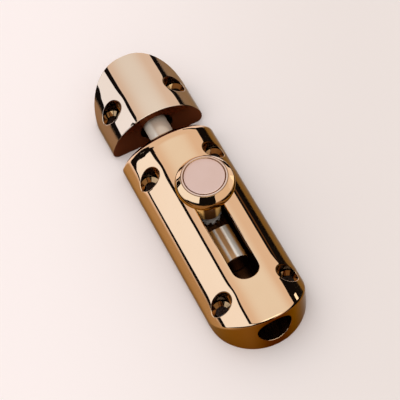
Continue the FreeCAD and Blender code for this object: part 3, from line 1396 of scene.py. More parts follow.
class ToothRing(ShapeTree):
    """A tree that sets copies of one tooth round a thin ring."""

    def __init__(self) -> None:
        """Build the tree."""
        sizes = {"Ring_Radius": "Float", "Ring_Width": "Float", "Ring_Thickness": "Float"}
        super().__init__("teeth_round_a_ring", Tooth="Geometry", Teeth="Int", **sizes)
        entry = self.entry
        spots = self.out("GeometryNodeMeshCircle", Vertices=entry["Teeth"], Radius=1e-5)
        tooth, share = entry["Tooth"], self.maths("DIVIDE", 2 * math.pi, entry["Teeth"])
        angle = self.maths("MULTIPLY", self.out("GeometryNodeInputIndex"), share)
        turn = self.out("ShaderNodeCombineXYZ", Z=angle)
        copies = self.out("GeometryNodeInstanceOnPoints", Points=spots, Instance=tooth, Rotation=turn)
        path = self.out("GeometryNodeCurvePrimitiveCircle", Resolution=96, Radius=entry["Ring Radius"])
        width, height = entry["Ring Width"], entry["Ring Thickness"]
        bar = self.out("GeometryNodeCurvePrimitiveQuadrilateral", Width=width, Height=height)
        joined = self.node("GeometryNodeJoinGeometry", links={0: copies})
        self.feed(joined.inputs[0], self.out("GeometryNodeCurveToMesh", Curve=path, Profile_Curve=bar))
        self.end(joined.outputs[0])


class Workshop:
    """Runs the Geometry Nodes trees and turns their results into plain pieces."""

    def __init__(self) -> None:
        """Build the trees."""
        self.lathe = Lathe()
        self.tooth_ring = ToothRing()

    def run(
        self, name: str, start: bpy.types.Mesh, tree: ShapeTree, move: Triple, **values: object
    ) -> Piece:
        """Run a tree on a mesh.

        Args:
            name: Name of the new piece.
            start: Mesh that the tree begins with.
            tree: The tree.
            move: Place of the result in the latch's frame.
            values: Value of each input, with low lines for spaces in its name.

        Returns:
            A plain mesh object at the origin.
        """
        blank = add_object(name + "_blank", start)
        nodes = blank.modifiers.new("make", "NODES")
        nodes.node_group = tree.tree
        for key, value in spaced(values).items():
            nodes[tree.inputs[key]] = value
        weigh = blank.modifiers.new("weigh", "WEIGHTED_NORMAL")
        weigh.mode = "FACE_AREA"
        weigh.weight = 80
        bpy.context.view_layer.update()
        ready = blank.evaluated_get(bpy.context.evaluated_depsgraph_get())
        mesh = bpy.data.meshes.new_from_object(ready)
        mesh.name = name
        bpy.data.objects.remove(blank)
        mesh.transform(Matrix.Translation(Vector(move) * MM))
        return add_object(name, mesh)

    def turn(self, name: str, profile: list[Spot], finish: Metal, x: float, facets: int) -> Piece:
        """Turn a profile on the lathe.

        Args:
            name: Name of the new piece.
            profile: Radius and height of each point, with the metal on the left of its direction.
            finish: Material of the piece.
            x: Place of the piece's axis.
            facets: Number of facets round it.

        Returns:
            A plain mesh object at the origin.
        """
        mesh = bpy.data.meshes.new(name + "_profile")
        spots = [(radius * MM, 0.0, height * MM) for radius, height in profile]
        mesh.from_pydata(spots, [(i, i + 1) for i in range(len(spots) - 1)], [])
        return self.run(name, mesh, self.lathe, (x, 0.0, 0.0), Facets=facets, Finish=finish)


def arc_points(centre: Spot, radius: float, start: float, stop: float, count: int) -> list[Spot]:
    """Points of a circular arc.

    Args:
        centre: Radius and height of the arc's middle.
        radius: Radius of the arc.
        start: First angle in degrees, from the outward direction towards up.
        stop: Last angle in degrees.
        count: Number of points.

    Returns:
        The points in order.
    """
    turn = np.radians(np.linspace(start, stop, count))
    return [(centre[0] + radius * math.cos(a), centre[1] + radius * math.sin(a)) for a in turn]


@dataclass(frozen=True)
class Knob:
    """The thumb knob with the cap pressed into its top.

    Attributes:
        flare_pull: How far the curve from neck to head follows each of its ends.
        rim_steps: How far in and up from the rim each point of its rounding is.
    """

    x: float = -8.25
    bore_radius: float = 2.15
    neck_radius: float = 3.8
    neck_bottom: float = 11.146
    neck_chamfer: float = 0.3
    neck_top: float = 19.6
    head_radius: float = 8.68
    widest_height: float = 25.8
    under_radius: float = 2.6
    under_turn: float = 50.0
    flare_pull: Spot = (1.5, 1.6)
    shoulder_radius: float = 3.2
    shoulder_turn: float = 36.0
    rim_height: float = 29.28
    rim_steps: tuple[Spot, ...] = ((0.1, 0.11), (0.22, 0.17))
    top: float = 29.5
    recess_radius: float = 6.02
    recess_height: float = 28.3
    recess_chamfer: float = 0.2
    screw_bore_radius: float = 3.8
    screw_seat: float = 20.0
    cap_radius: float = 5.9
    cap_chamfer: float = 0.12
    facets: int = 160

    def profile(self) -> list[Spot]:
        """Outline of the knob, from the foot of its bore round the outside and back down the bore.

        Returns:
            Radius and height of each point.
        """
        under_centre = (self.head_radius - self.under_radius, self.widest_height)
        upper_centre = (self.head_radius - self.shoulder_radius, self.widest_height)
        under = arc_points(under_centre, self.under_radius, -self.under_turn, 0, 14)
        upper = arc_points(upper_centre, self.shoulder_radius, 0, self.shoulder_turn, 10)[1:]
        rise = self.rim_height - upper[-1][1]
        run = rise * math.tan(math.radians(self.shoulder_turn))
        rim = upper[-1][0] - run
        upper += [(upper[-1][0] - run * share, upper[-1][1] + rise * share) for share in (0.05, 0.5, 1.0)]
        upper += [(rim - inward, self.rim_height + more) for inward, more in self.rim_steps]
        foot = (self.neck_radius - self.neck_chamfer, self.neck_bottom)
        lip = self.recess_radius + self.recess_chamfer
        return [
            (self.bore_radius, self.neck_bottom),
            foot,
            *arc_points((foot[0], foot[1] + self.neck_chamfer), self.neck_chamfer, -70, 0, 5),
            (self.neck_radius, self.neck_top - 1.2),
            *self.flare(under[0]),
            *under,
            *upper,
            (lip + 0.05, self.top),
            (lip, self.top),
            (self.recess_radius + 0.02, self.top - self.recess_chamfer + 0.02),
            (self.recess_radius, self.top - self.recess_chamfer),
            (self.recess_radius, self.recess_height),
            (self.screw_bore_radius, self.recess_height),
            (self.screw_bore_radius, self.screw_seat),
            (self.bore_radius, self.screw_seat),
            (self.bore_radius, self.neck_bottom),
        ]

    def flare(self, end: Spot) -> list[Spot]:
        """Smooth run from the neck to the underside of the head.

        Args:
            end: First point of the underside.

        Returns:
            The points before it.
        """
        slope = math.radians(90 - self.under_turn)
        start = (self.neck_radius, self.neck_top - 0.6)
        first = (self.neck_radius, start[1] + self.flare_pull[0])
        pull = self.flare_pull[1]
        second = (end[0] - pull * math.cos(slope), end[1] - pull * math.sin(slope))
        spots = []
        for t in np.linspace(0, 1, 14)[:-1]:
            shares = (1 - t) ** 3, 3 * t * (1 - t) ** 2, 3 * t * t * (1 - t), t**3
            spots.append(tuple(np.dot(shares, (start, first, second, end))))
        return spots

    def cap_profile(self) -> list[Spot]:
        """Outline of the cap, from the middle of its underside to the middle of its face.

        Returns:
            Radius and height of each point.
        """
        radius, edge, soft = self.cap_radius, self.cap_chamfer, 0.02
        return [
            (0.0, self.recess_height),
            (radius, self.recess_height),
            (radius, self.top - edge - soft),
            (radius - soft, self.top - edge + soft),
            (radius - edge + soft, self.top - soft),
            (radius - edge - 0.05, self.top),
            (radius - 1.2, self.top),
            (2.5, self.top),
            (0.0, self.top),
        ]

    def build(self, workshop: Workshop, brass: Metal, satin: Metal) -> list[Piece]:
        """Turn the knob and its cap.

        Args:
            workshop: Where they are turned.
            brass: Finish of the knob.
            satin: Finish of the cap.

        Returns:
            The knob, then the cap.
        """
        head = workshop.turn("knob_head", self.profile(), brass, self.x, self.facets)
        cap = workshop.turn("knob_cap_disc", self.cap_profile(), satin, self.x, self.facets)
        return [head, cap]


@dataclass(frozen=True)
class Washers:
    """The plain washer and the tooth lock washer under the knob's neck.

    Attributes:
        groove: Depth of the groove round the plain washer.
    """

    x: float = -8.25
    radius: float = 3.6
    bore_radius: float = 2.15
    seat_height: float = 7.45
    plain_height: float = 9.0157
    plain_thickness: float = 2.13
    edge: float = 0.22
    groove: float = 0.3
    facets: int = 96
    teeth: int = 10
    ring_radius: float = 2.9
    ring_thickness: float = 1.0
    tooth_twist: float = 40.0
    tooth_share: float = 0.55

    @property
    def root_radius(self) -> float:
        """Middle of the tooth washer's ring, where a tooth has its root."""
        return (self.ring_radius + self.bore_radius) / 2

    @property
    def tooth_rows(self) -> tuple[Triple, ...]:
        """Radius of each section of a tooth, with its shares of the twist and of the width."""
        return (self.root_radius, 0.0, 1.0), (self.ring_radius, 0.75, 1.0), (self.radius, 1.0, 0.9)

    def plain_profile(self) -> list[Spot]:
        """Outline of the plain washer, from the foot of its bore round the outside and back.

        Returns:
            Radius and height of each point.
        """
        low, high = self.plain_height, self.plain_height + self.plain_thickness
        out, edge = self.radius, self.edge
        return [
            (self.bore_radius, low),
            (out - edge, low),
            *arc_points((out - edge, low + edge), edge, -67, -23, 2),
            (out, low + edge),
            (out, low + 2.6 * edge),
            (out - self.groove, low + 3.2 * edge),
            (out - self.groove, high - 3.4 * edge),
            (out, high - 2.8 * edge),
            (out, high - edge),
            *arc_points((out - edge, high - edge), edge, 23, 67, 2),
            (out - edge, high),
            (self.bore_radius + edge, high),
            (self.bore_radius, high - edge),
            (self.bore_radius, low),
        ]

    def tooth(self) -> bpy.types.Mesh:
        """One twisted tooth, with its root in the ring.

        Returns:
            Its mesh.
        """
        across, up = self.tooth_share * math.pi * self.radius / self.teeth, self.ring_thickness / 2
        spots = []
        for x, twist, share in self.tooth_rows:
            turn = math.radians(self.tooth_twist * twist)
            sine, cosine = math.sin(turn), math.cos(turn)
            for y, z in ((-across, -up), (across, -up), (across, up), (-across, up)):
                spots.append((x, (y * cosine - z * sine) * share, y * sine + z * cosine))
        faces = [(3, 2, 1, 0), (8, 9, 10, 11)]
        for row in (0, 4):
            faces += [(row + i, row + (i + 1) % 4, row + 4 + (i + 1) % 4, row + 4 + i) for i in range(4)]
        mesh = bpy.data.meshes.new("tooth")
        mesh.from_pydata([tuple(c * MM for c in spot) for spot in spots], [], faces)
        return mesh

    def build(self, workshop: Workshop, steel: Metal) -> list[Piece]:
        """Make both washers.

        Args:
            workshop: Where they are made.
            steel: Their finish.

        Returns:
            The plain washer, then the tooth washer.
        """
        plain = workshop.turn("plain_washer_ring", self.plain_profile(), steel, self.x, self.facets)
        toothed = workshop.run(
            "tooth_washer_ring",
            self.tooth(),
            workshop.tooth_ring,
            (self.x, 0.0, (self.seat_height + self.plain_height) / 2),
            Teeth=self.teeth,
            Ring_Radius=self.root_radius * MM,
            Ring_Width=(self.ring_radius - self.bore_radius) * MM,
            Ring_Thickness=self.ring_thickness * MM,
            Finish=steel,
        )
        return [plain, toothed]


class Shading(Nodes):
    """A material's node tree under construction."""

    def __init__(self, name: str) -> None:
        """Start a material with one metal shader.

        Args:
            name: Name of the material.
        """
        self.material = bpy.data.materials.new(name)
        self.material.use_nodes = True
        super().__init__(self.material.node_tree)
        self.shader = self.tree.nodes["Principled BSDF"].inputs
        coordinates = self.node("ShaderNodeTexCoord").outputs
        self.normal = coordinates["Normal"]
        self.place = coordinates["Object"]

    def set(self, **values: object) -> None:
        """Feed the shader's inputs.

        Args:
            values: Output or value of each input, with low lines for spaces in its name.
        """
        for key, value in spaced(values).items():
            self.feed(self.shader[key], value)

    def noise(self, scale: float, detail: float, stretch: Triple = (1.0, 1.0, 1.0)) -> Socket:
        """Fine noise over the piece.

        Args:
            scale: Waves per metre.
            detail: Number of finer layers.
            stretch: How much tighter the noise is along each axis.

        Returns:
            A value about 0.5.
        """
        mapped = self.out("ShaderNodeMapping", Vector=self.place, Scale=stretch)
        return self.out("ShaderNodeTexNoise", Vector=mapped, Scale=scale, Detail=detail)

    def clouded(self, scale: float, detail: float, colour: Colour, far_colour: Colour) -> Socket:
        """A colour that drifts to another in soft clouds.

        Args:
            scale: Clouds per metre.
            detail: Number of finer layers.
            colour: The colour.
            far_colour: What it drifts to.

        Returns:
            The drifting colour.
        """
        return self.mix(self.spread(self.noise(scale, detail), (0.3, 0.0), (0.7, 1.0)), colour, far_colour)

    def bump(self, height: Socket, strength: float, distance: float) -> None:
        """Lead a height into the shader's normal."""
        self.set(Normal=self.out("ShaderNodeBump", Height=height, Strength=strength, Distance=distance))

    def mark(self, marks: Socket, rough: Spot, strength: float, distance: float) -> None:
        """Roughen and dent the face with fine marks.

        Args:
            marks: Noise that holds the marks.
            rough: Least and most roughness.
            strength: How clear the dents are.
            distance: How deep they are, in metres.
        """
        self.set(Roughness=self.spread(marks, (0.3, rough[0]), (0.7, rough[1])))
        self.bump(marks, strength, distance)


@dataclass(frozen=True)
class PolishedBrass:
    """Mirror-polished rose brass, rougher on the steep faces, which carry painted dark reflection and
    painted shade set by each face's normal.

    Attributes:
        crown: Colour of the polished faces.
        crown_far: Colour they drift to.
        steep: Painted dark reflection where the steep faces start.
        upright: Painted dark reflection on upright faces.
        shade: Painted shade on the steep faces on the right.
        tail: Painted dark reflection and painted shade on the upright faces that look back along the latch.
        tail_middle: The same, darker, in the middle of that end.
        edge_tint: Specular tint that keeps the grazing reflection on the painted steep faces dark.
        tilt: Direction about which steepness is counted.
        steep_from: Angle from that direction, in degrees, where the painted dark reflection starts.
        steep_to: Angle where it is full.
        ahead_from: How far a face may turn to the front before the painted dark reflection leaves it.
        roughness: Roughness of the polished faces.
        foot: Painted warm reflection below foot_height, where the metallic is lowered, or None.
        foot_dark_reflection: Painted dark reflection on its side towards the tail.
        foot_side: Direction of that side.
        foot_height: Height where the painted foot ends and the full metallic starts, in metres.
        ring: Colour of a flat top ring that is left satin, or None.
        ring_line: Colour of the fine line round that ring.
    """

    name: str
    crown: Colour
    crown_far: Colour
    steep: Colour
    upright: Colour
    shade: Colour
    tail: Colour
    tail_middle: Colour = (0.17, 0.045, 0.004)
    edge_tint: Colour = (0.66, 0.6, 0.52)
    tilt: Triple = (0.0, 0.087, 0.996)
    steep_from: float = 49.0
    steep_to: float = 55.0
    steep_roughness: float = 0.12
    ahead_from: float = 0.15
    roughness: float = 0.022
    foot: Optional[Colour] = None
    foot_dark_reflection: Colour = (0.10, 0.04, 0.012)
    foot_side: Triple = (-0.966, 0.26, 0.0)
    foot_height: float = 0.0205
    ring: Optional[Colour] = None
    ring_line: Colour = (0.30, 0.16, 0.08)
    ring_roughness: float = 0.25

    def material(self) -> Metal:
        """Build the material.

        Returns:
            The material.
        """
        shading = Shading(self.name)
        spread, mix, maths = shading.spread, shading.mix, shading.maths
        ahead, left, up = shading.parts(shading.normal)
        along = shading.dot(shading.normal, self.tilt)
        full, none = math.cos(math.radians(self.steep_to)), math.cos(math.radians(self.steep_from))
        # Masks: painted dark reflection on steep faces, painted shade on the right flank, painted dark
        # reflection and shade on faces that look back.
        behind = spread(ahead, (self.ahead_from, 1.0), (self.ahead_from + 0.25, 0.0))
        steep = maths("MULTIPLY", spread(along, (full, 1.0), (none, 0.0)), behind)
        painted_dark = mix(spread(along, (0.05, 1.0), (0.5, 0.0)), self.steep, self.upright)
        painted_dark = mix(spread(left, (-0.6, 1.0), (0.1, 0.0)), painted_dark, self.shade)
        tail = mix(spread(maths("ABSOLUTE", left), (0.05, 0.0), (0.55, 1.0)), self.tail_middle, self.tail)
        painted_dark = mix(spread(ahead, (-0.8, 1.0), (-0.15, 0.0)), painted_dark, tail)
        colour = mix(steep, shading.clouded(45.0, 3.0, self.crown, self.crown_far), painted_dark)
        hazy = spread(shading.noise(260.0, 4.0), (0.35, self.roughness), (0.75, self.roughness + 0.02))
        rough = maths("MULTIPLY_ADD", steep, self.steep_roughness, hazy)
        if self.ring is not None:
            colour = mix(spread(up, (0.70, 0.0), (0.78, 1.0)), colour, self.ring_line)
            flat = spread(up, (0.95, 0.0), (0.99, 1.0))
            colour = mix(flat, colour, self.ring)
            rough = maths("MULTIPLY_ADD", flat, self.ring_roughness, rough)
        # The specular tint on the steep faces keeps their painted dark reflection dark at grazing angles.
        tint = mix(steep, (1.0, 1.0, 1.0), self.edge_tint)
        shading.set(Base_Color=colour, Specular_Tint=tint, Metallic=1.0, Roughness=rough)
        # Painted warm reflection on the knob's foot, with painted dark reflection on its side towards the
        # tail.
        if self.foot is not None:
            self.paint_foot_reflection(shading, colour)
        shading.bump(shading.noise(150.0, 2.0), 0.04, 0.0002)
        return shading.material

    def paint_foot_reflection(self, shading: Shading, colour: Socket) -> None:
        """Paint a warm reflection on the lowest part, darker on its side towards the tail, and lower its
        metallic there.

        Args:
            shading: The material being built.
            colour: Colour of the rest.
        """
        spread = shading.spread
        height, start = shading.parts(shading.place)[2], self.foot_height - MM
        # Painted dark reflection on the side towards the tail, painted warm reflection on the rest of the
        # foot.
        toward = spread(shading.dot(shading.normal, self.foot_side), (0.84, 0.0), (0.93, 1.0))
        foot = shading.mix(toward, self.foot, self.foot_dark_reflection)
        low = spread(height, (start, 1.0), (self.foot_height, 0.0))
        metal = spread(height, (start, 0.1), (self.foot_height, 1.0))
        shading.set(Base_Color=shading.mix(low, colour, foot), Metallic=metal)


@dataclass(frozen=True)
class BoreBrassPaintedShade:
    """Drilled and milled faces inside the brass, marked by the cutter, coloured a dark brown that is painted
    shade.
    """

    name: str
    colour: Colour
    far_colour: Colour
    roughness: float = 0.3
    mark: float = 0.15

    def material(self) -> Metal:
        """Build the material.

        Returns:
            The material.
        """
        shading = Shading(self.name)
        shading.set(Base_Color=shading.clouded(180.0, 4.0, self.colour, self.far_colour), Metallic=1.0)
        marks = shading.noise(1800.0, 2.0, (0.15, 1.0, 1.0))
        shading.mark(marks, (self.roughness - 0.05, self.roughness + 0.08), self.mark, 0.00003)
        return shading.material


@dataclass(frozen=True)
class SatinCap:
    """The cap's face: rose brass, turned flat and left satin."""

    name: str
    colour: Colour
    far_colour: Colour
    centre: Triple
    roughness: float = 0.34

    def material(self) -> Metal:
        """Build the material.

        Returns:
            The material.
        """
        shading = Shading(self.name)
        links = {0: shading.place, 1: self.centre}
        moved = shading.node("ShaderNodeVectorMath", {"operation": "SUBTRACT"}, links).outputs[0]
        reach = shading.node("ShaderNodeVectorMath", {"operation": "LENGTH"}, {0: moved}).outputs["Value"]
        rings = shading.out("ShaderNodeCombineXYZ", X=reach)
        turned = shading.out("ShaderNodeTexNoise", Vector=rings, Scale=9000.0, Detail=3.0)
        shading.set(Base_Color=shading.clouded(120.0, 3.0, self.colour, self.far_colour), Metallic=1.0)
        shading.mark(turned, (self.roughness - 0.05, self.roughness + 0.06), 0.12, 0.00002)
        return shading.material


@dataclass(frozen=True)
class Steel:
    """Plated or drawn steel with fine marks along one axis.

    Attributes:
        painted_brass_reflection: Painted reflection of the brass on the rod's flanks inside the casing, or
            None.
        streak: Painted dark reflection along the top of the rod inside the casing.
        shaded: Painted shade on the rod outside the casing, except on its left flank.
    """

    name: str
    colour: Colour
    far_colour: Colour
    roughness: float
    stretch: Triple = (1.0, 1.0, 1.0)
    mark: float = 0.05
    metal: float = 1.0
    painted_brass_reflection: Optional[Colour] = None
    streak: Colour = (0.48, 0.27, 0.12)
    streak_side: float = 0.15
    shaded: Colour = (0.64, 0.52, 0.42)

    def material(self) -> Metal:
        """Build the material.

        Returns:
            The material.
        """
        shading = Shading(self.name)
        colour = shading.clouded(200.0, 4.0, self.colour, self.far_colour)
        if self.painted_brass_reflection is not None:
            colour = self.paint_brass_reflection(shading, colour)
        shading.set(Base_Color=colour, Metallic=self.metal)
        marks = shading.noise(2500.0, 3.0, self.stretch)
        shading.mark(marks, (self.roughness - 0.04, self.roughness + 0.05), self.mark, 0.00002)
        return shading.material

    def paint_brass_reflection(self, shading: Shading, colour: Socket) -> Socket:
        """Paint the brass's reflection and a dark stripe on the steel inside the casing, and painted shade
        outside it.

        Args:
            shading: The material being built.
            colour: The steel's own colour.

        Returns:
            The tinted colour.
        """
        # Painted reflection and painted shade, set by the rod's normal and its place along the latch.
        spread, mix = shading.spread, shading.mix
        side, along = shading.parts(shading.normal)[1], shading.parts(shading.place)[0]
        away = shading.maths("ABSOLUTE", shading.maths("SUBTRACT", side, self.streak_side))
        inner = mix(spread(away, (0.13, 1.0), (0.28, 0.0)), colour, self.streak)
        inner = mix(spread(side, (0.44, 0.0), (0.62, 1.0)), inner, self.painted_brass_reflection)
        inner = mix(spread(side, (-0.72, 1.0), (-0.46, 0.0)), inner, self.painted_brass_reflection)
        outer = mix(spread(side, (0.38, 1.0), (0.6, 0.0)), colour, self.shaded)
        return mix(spread(along, (-0.006, 0.0), (0.016, 1.0)), inner, outer)


@dataclass(frozen=True)
class Finishes:
    """Finishes of the latch."""

    # In each brass finish, crown and crown_far are the metal's own colour; steep, upright, shade, tail and
    # tail_middle are painted dark reflection and painted shade.
    casing: PolishedBrass = PolishedBrass(
        "polished_rose_brass",
        crown=(0.94, 0.66, 0.43),
        crown_far=(0.92, 0.63, 0.40),
        steep=(0.47, 0.245, 0.088),
        upright=(0.24, 0.11, 0.04),
        shade=(0.27, 0.135, 0.048),
        tail=(0.24, 0.088, 0.018),
        tail_middle=(0.11, 0.022, 0.003),
        edge_tint=(0.62, 0.52, 0.40),
    )
    keeper: PolishedBrass = PolishedBrass(
        "polished_rose_brass_pinker",
        crown=(0.88, 0.69, 0.54),
        crown_far=(0.85, 0.66, 0.51),
        steep=(0.30, 0.17, 0.085),
        upright=(0.20, 0.11, 0.055),
        shade=(0.30, 0.19, 0.11),
        tail=(0.10, 0.032, 0.018),
        tail_middle=(0.085, 0.022, 0.012),
        edge_tint=(0.62, 0.54, 0.44),
        tilt=(0.0, 0.122, 0.9925),
        steep_from=43.0,
        steep_to=47.0,
    )
    knob: PolishedBrass = PolishedBrass(
        "polished_knob_brass",
        crown=(0.93, 0.65, 0.40),
        crown_far=(0.91, 0.62, 0.37),
        steep=(0.40, 0.20, 0.07),
        upright=(0.28, 0.12, 0.03),
        shade=(0.36, 0.18, 0.055),
        tail=(0.30, 0.13, 0.035),
        tail_middle=(0.26, 0.105, 0.024),
        edge_tint=(0.6, 0.45, 0.28),
        tilt=(0.0, 0.0, 1.0),
        steep_from=56.5,
        steep_to=63.0,
        ahead_from=0.8,
        # foot paints a warm reflection on the neck.
        foot=(1.0, 0.60, 0.20),
        ring=(0.86, 0.64, 0.54),
    )
    # Both cut finishes are a dark brown that is painted shade inside the cuts.
    shaded_bores: BoreBrassPaintedShade = BoreBrassPaintedShade("bore_brass_painted_shade", (0.10, 0.042, 0.017), (0.06, 0.025, 0.010))
    shaded_recesses: BoreBrassPaintedShade = BoreBrassPaintedShade("recess_brass_painted_shade", (0.50, 0.32, 0.17), (0.40, 0.25, 0.12), 0.06, 0.02)
    cap: SatinCap = SatinCap(
        "satin_rose_cap",
        (0.83, 0.60, 0.54),
        (0.80, 0.57, 0.50),
        (-0.00825, 0.0, 0.0295),
    )
    rod: Steel = Steel(
        "drawn_bolt_steel",
        (0.97, 0.91, 0.83),
        (0.92, 0.86, 0.77),
        0.2,
        (0.03, 1.0, 1.0),
        metal=0.3,
        painted_brass_reflection=(0.92, 0.42, 0.11),
    )
    washers: Steel = Steel("plated_washer_steel", (0.97, 0.96, 0.93), (0.90, 0.89, 0.86), 0.12, metal=0.5)


@dataclass(frozen=True)
class CameraPlace:
    """The camera, at the photograph's angle."""

    target: Triple = (-1.005, -0.466, 5.0)
    back: Triple = (-0.4806, 0.1755, 0.8592)
    distance: float = 507.317
    roll: float = -7.297
    lens: float = 154.285

    def build(self) -> None:
        """Put the camera in the scene."""
        back = Vector(self.back).normalized()
        right = (-back).cross(Vector(UP)).normalized()
        up = right.cross(-back)
        turn = math.radians(self.roll)
        across = math.cos(turn) * right + math.sin(turn) * up
        above = -math.sin(turn) * right + math.cos(turn) * up
        place = (Vector(self.target) + back * self.distance) * MM
        data = bpy.data.cameras.new("camera")
        data.lens = self.lens
        data.sensor_width = 36.0
        data.clip_start = 0.01
        data.clip_end = 20.0
        camera = add_object("camera", data)
        camera.matrix_world = Matrix.Translation(place) @ Matrix((across, above, back)).transposed().to_4x4()
        bpy.context.scene.camera = camera


@dataclass(frozen=True)
class Card:
    """A flat studio card that only gloss sees.

    Attributes:
        name: Name of the card.
        corners: Its corners in millimetres, in order.
        glow: Colour that it gives off.
    """

    name: str
    corners: tuple[Triple, ...]
    glow: Colour = (0.006, 0.005, 0.005)

    def build(self) -> None:
        """Set the card up."""
        shading = Shading(self.name + "_face")
        shading.set(Base_Color=(0.0, 0.0, 0.0, 1.0), Roughness=1.0, Specular_IOR_Level=0.0)
        shading.set(Emission_Color=(*self.glow, 1.0), Emission_Strength=1.0)
        mesh = bpy.data.meshes.new(self.name)
        corners = [tuple(c * MM for c in corner) for corner in self.corners]
        mesh.from_pydata(corners, [], [tuple(range(len(corners)))])
        mesh.materials.append(shading.material)
        card = add_object(self.name, mesh)
        card.visible_camera = False
        card.visible_diffuse = False
        card.visible_shadow = False


def upright_card(name: str, y: float, outline: tuple[Spot, ...], **more: Colour) -> Card:
    """A card that stands along the latch.

    Args:
        name: Name of the card.
        y: Its distance to the left.
        outline: x and z of its corners.
        more: Other values of the card.

    Returns:
        The card.
    """
    return Card(name, tuple((x, y, z) for x, z in outline), **more)


@dataclass(frozen=True)
class Studio:
    """Pale floor, soft light all round, and cards that only gloss sees.

    Attributes:
        floor_side: Direction across which the floor goes over into its painted shade, which lies on the side
            away from it.
        soft_side: Direction from which the soft sky shines.
    """

    floor_size: float = 3.0
    floor_colour: Colour = (0.95, 0.895, 0.91)
    floor_painted_shade: Colour = (0.815, 0.77, 0.765)
    floor_side: Triple = (0.4, 0.916, 0.0)
    lamp_power: float = 0.8
    lamp_angle: float = 70.0
    lamp_tilt: Triple = (-22.0, 8.0, 0.0)
    sky: Colour = (0.77, 0.66, 0.58)
    soft_sky: Colour = (0.85, 0.87, 0.87)
    soft_side: Triple = (0.0, -0.26, 0.966)
    cards: tuple[Card, ...] = (
        upright_card(
            "panel_left",
            100,
            (
                (-125, 60), (-100, 51), (-60, 41), (-24, 31), (-9, 12), (-7, 0), (66, 0), (70, 20), (82, 19),
                (88, 21), (98, 21), (101, 24), (105, 33), (108, 38), (116, 42), (124, 60), (136, 100),
                (147, 118), (134, 134), (126, 141), (119, 135), (113, 125), (106, 115), (90, 119),
                (80, 122), (60, 121.5), (25, 116), (-125, 98),
            ),
            glow=(0.98, 1.055, 1.18),
        ),
        upright_card(
            "frame_left",
            100.5,
            (
                (-125, 97), (25, 115), (60, 120), (90, 114), (110, 112), (147, 117), (200, 90), (200, 205),
                (175, 175), (150, 181), (134, 158), (115, 154), (90, 150), (60, 145), (25, 137.5),
                (-125, 116),
            ),
        ),
        upright_card("front_left", 101, ((60, -1), (300, -1), (300, 118), (140, 118), (90, 60), (60, 20))),
        upright_card("foot_left", 101, ((-126, 0), (10, 0), (10, 60), (-126, 96))),
        Card(
            "floor_left",
            (
                (-26, 41, 0.3), (0, 47, 0.3), (20, 53, 0.3), (66, 60, 0.3), (100, 78, 0.3), (100, 99.5, 0.3),
                (-10, 99.5, 0.3), (-22, 84, 0.3), (-30, 66, 0.3), (-34, 49, 0.3),
            ),
        ),
        upright_card(
            "post_left",
            30,
            (
                (25.2, 5.7), (27.2, 9.2), (28.4, 14), (29.4, 20), (30.8, 25), (33, 30), (35.6, 36), (38, 41),
                (40, 46), (41, 51), (52.5, 50), (51.5, 45.5), (49, 37.5), (46.2, 32), (43.6, 28),
                (41.6, 23.5), (40.2, 19), (39, 15), (37.8, 12), (37, 6),
            ),
        ),
        upright_card(
            "bar_right",
            -30,
            (
                (-90, 1), (36, 1.5), (40, 10.6), (70, 11.4), (70, 18.4), (39, 16.6), (34, 15), (-20, 15.2),
                (-25.3, 12.6), (-26.8, 12.6), (-27, 21), (-30, 22.3), (-34, 23.2), (-90, 23.6),
            ),
        ),
        upright_card(
            "strip_right",
            -29.9,
            ((-26, 11.4), (-10, 10.2), (6, 10.2), (6, 12.2), (-20, 12)),
            glow=(0.10, 0.05, 0.022),
        ),
        upright_card(
            "tick_right",
            -29.8,
            ((-38.5, 13.4), (-35.4, 13), (-35.6, 16.6), (-38.5, 17.4)),
            glow=(1.3, 1.25, 1.1),
        ),
        Card("back_left", ((-90, 101, 0), (-150, 60, 0), (-150, 60, 130), (-120, 101, 130))),
        Card("back", ((-150, 60, 0), (-150, -4, 0), (-150, -16, 60), (-150, -46, 118), (-150, 60, 130))),
        Card(
            "glow_back",
            ((-150, 120, 119), (-150, -120, 119), (-90, -120, 400), (-90, 120, 400)),
            glow=(1.6, 1.62, 1.5),
        ),
        Card(
            "spot_right",
            ((-32, -150, 0.4), (8, -150, 0.4), (8, -55, 0.4), (-32, -55, 0.4)),
            glow=(1.2, 1.15, 1.0),
        ),
    )

    def build(self) -> None:
        """Build the floor, the cards and the light."""
        self.build_floor()
        for card in self.cards:
            card.build()
        self.build_world()
        self.build_lamp()
        bpy.context.scene.view_settings.view_transform = "Standard"

    def build_floor(self) -> None:
        """Lay the floor."""
        half = self.floor_size / 2
        mesh = bpy.data.meshes.new("floor")
        corners = [(-half, -half, 0), (half, -half, 0), (half, half, 0), (-half, half, 0)]
        mesh.from_pydata(corners, [], [(0, 1, 2, 3)])
        floor = add_object("floor", mesh)
        shading = Shading("pale_floor")
        # Painted shade: the floor is darker on the side away from floor_side.
        share = shading.spread(shading.dot(shading.place, self.floor_side), (-0.06, 1.0), (0.06, 0.0))
        colour = shading.mix(share, self.floor_colour, self.floor_painted_shade)
        shading.set(Base_Color=colour, Roughness=0.9, Specular_IOR_Level=0.0)
        mesh.materials.append(shading.material)

    def build_lamp(self) -> None:
        """Hang a wide soft lamp that lifts the floor and stays out of the polish."""
        lamp = bpy.data.lights.new("soft_lamp", "SUN")
        lamp.energy = self.lamp_power
        lamp.angle = math.radians(self.lamp_angle)
        holder = add_object("soft_lamp", lamp)
        holder.rotation_euler = [math.radians(turn) for turn in self.lamp_tilt]
        holder.visible_glossy = False

    def build_world(self) -> None:
        """Light the latch evenly from all round."""
        world = bpy.data.worlds.new("studio")
        world.use_nodes = True
        bpy.context.scene.world = world
        nodes = Nodes(world.node_tree)
        toward = nodes.dot(nodes.node("ShaderNodeTexCoord").outputs["Generated"], self.soft_side)
        colour = nodes.mix(nodes.spread(toward, (0.62, 0.0), (0.88, 1.0)), self.sky, self.soft_sky)
        nodes.feed(nodes.tree.nodes["Background"].inputs["Color"], colour)


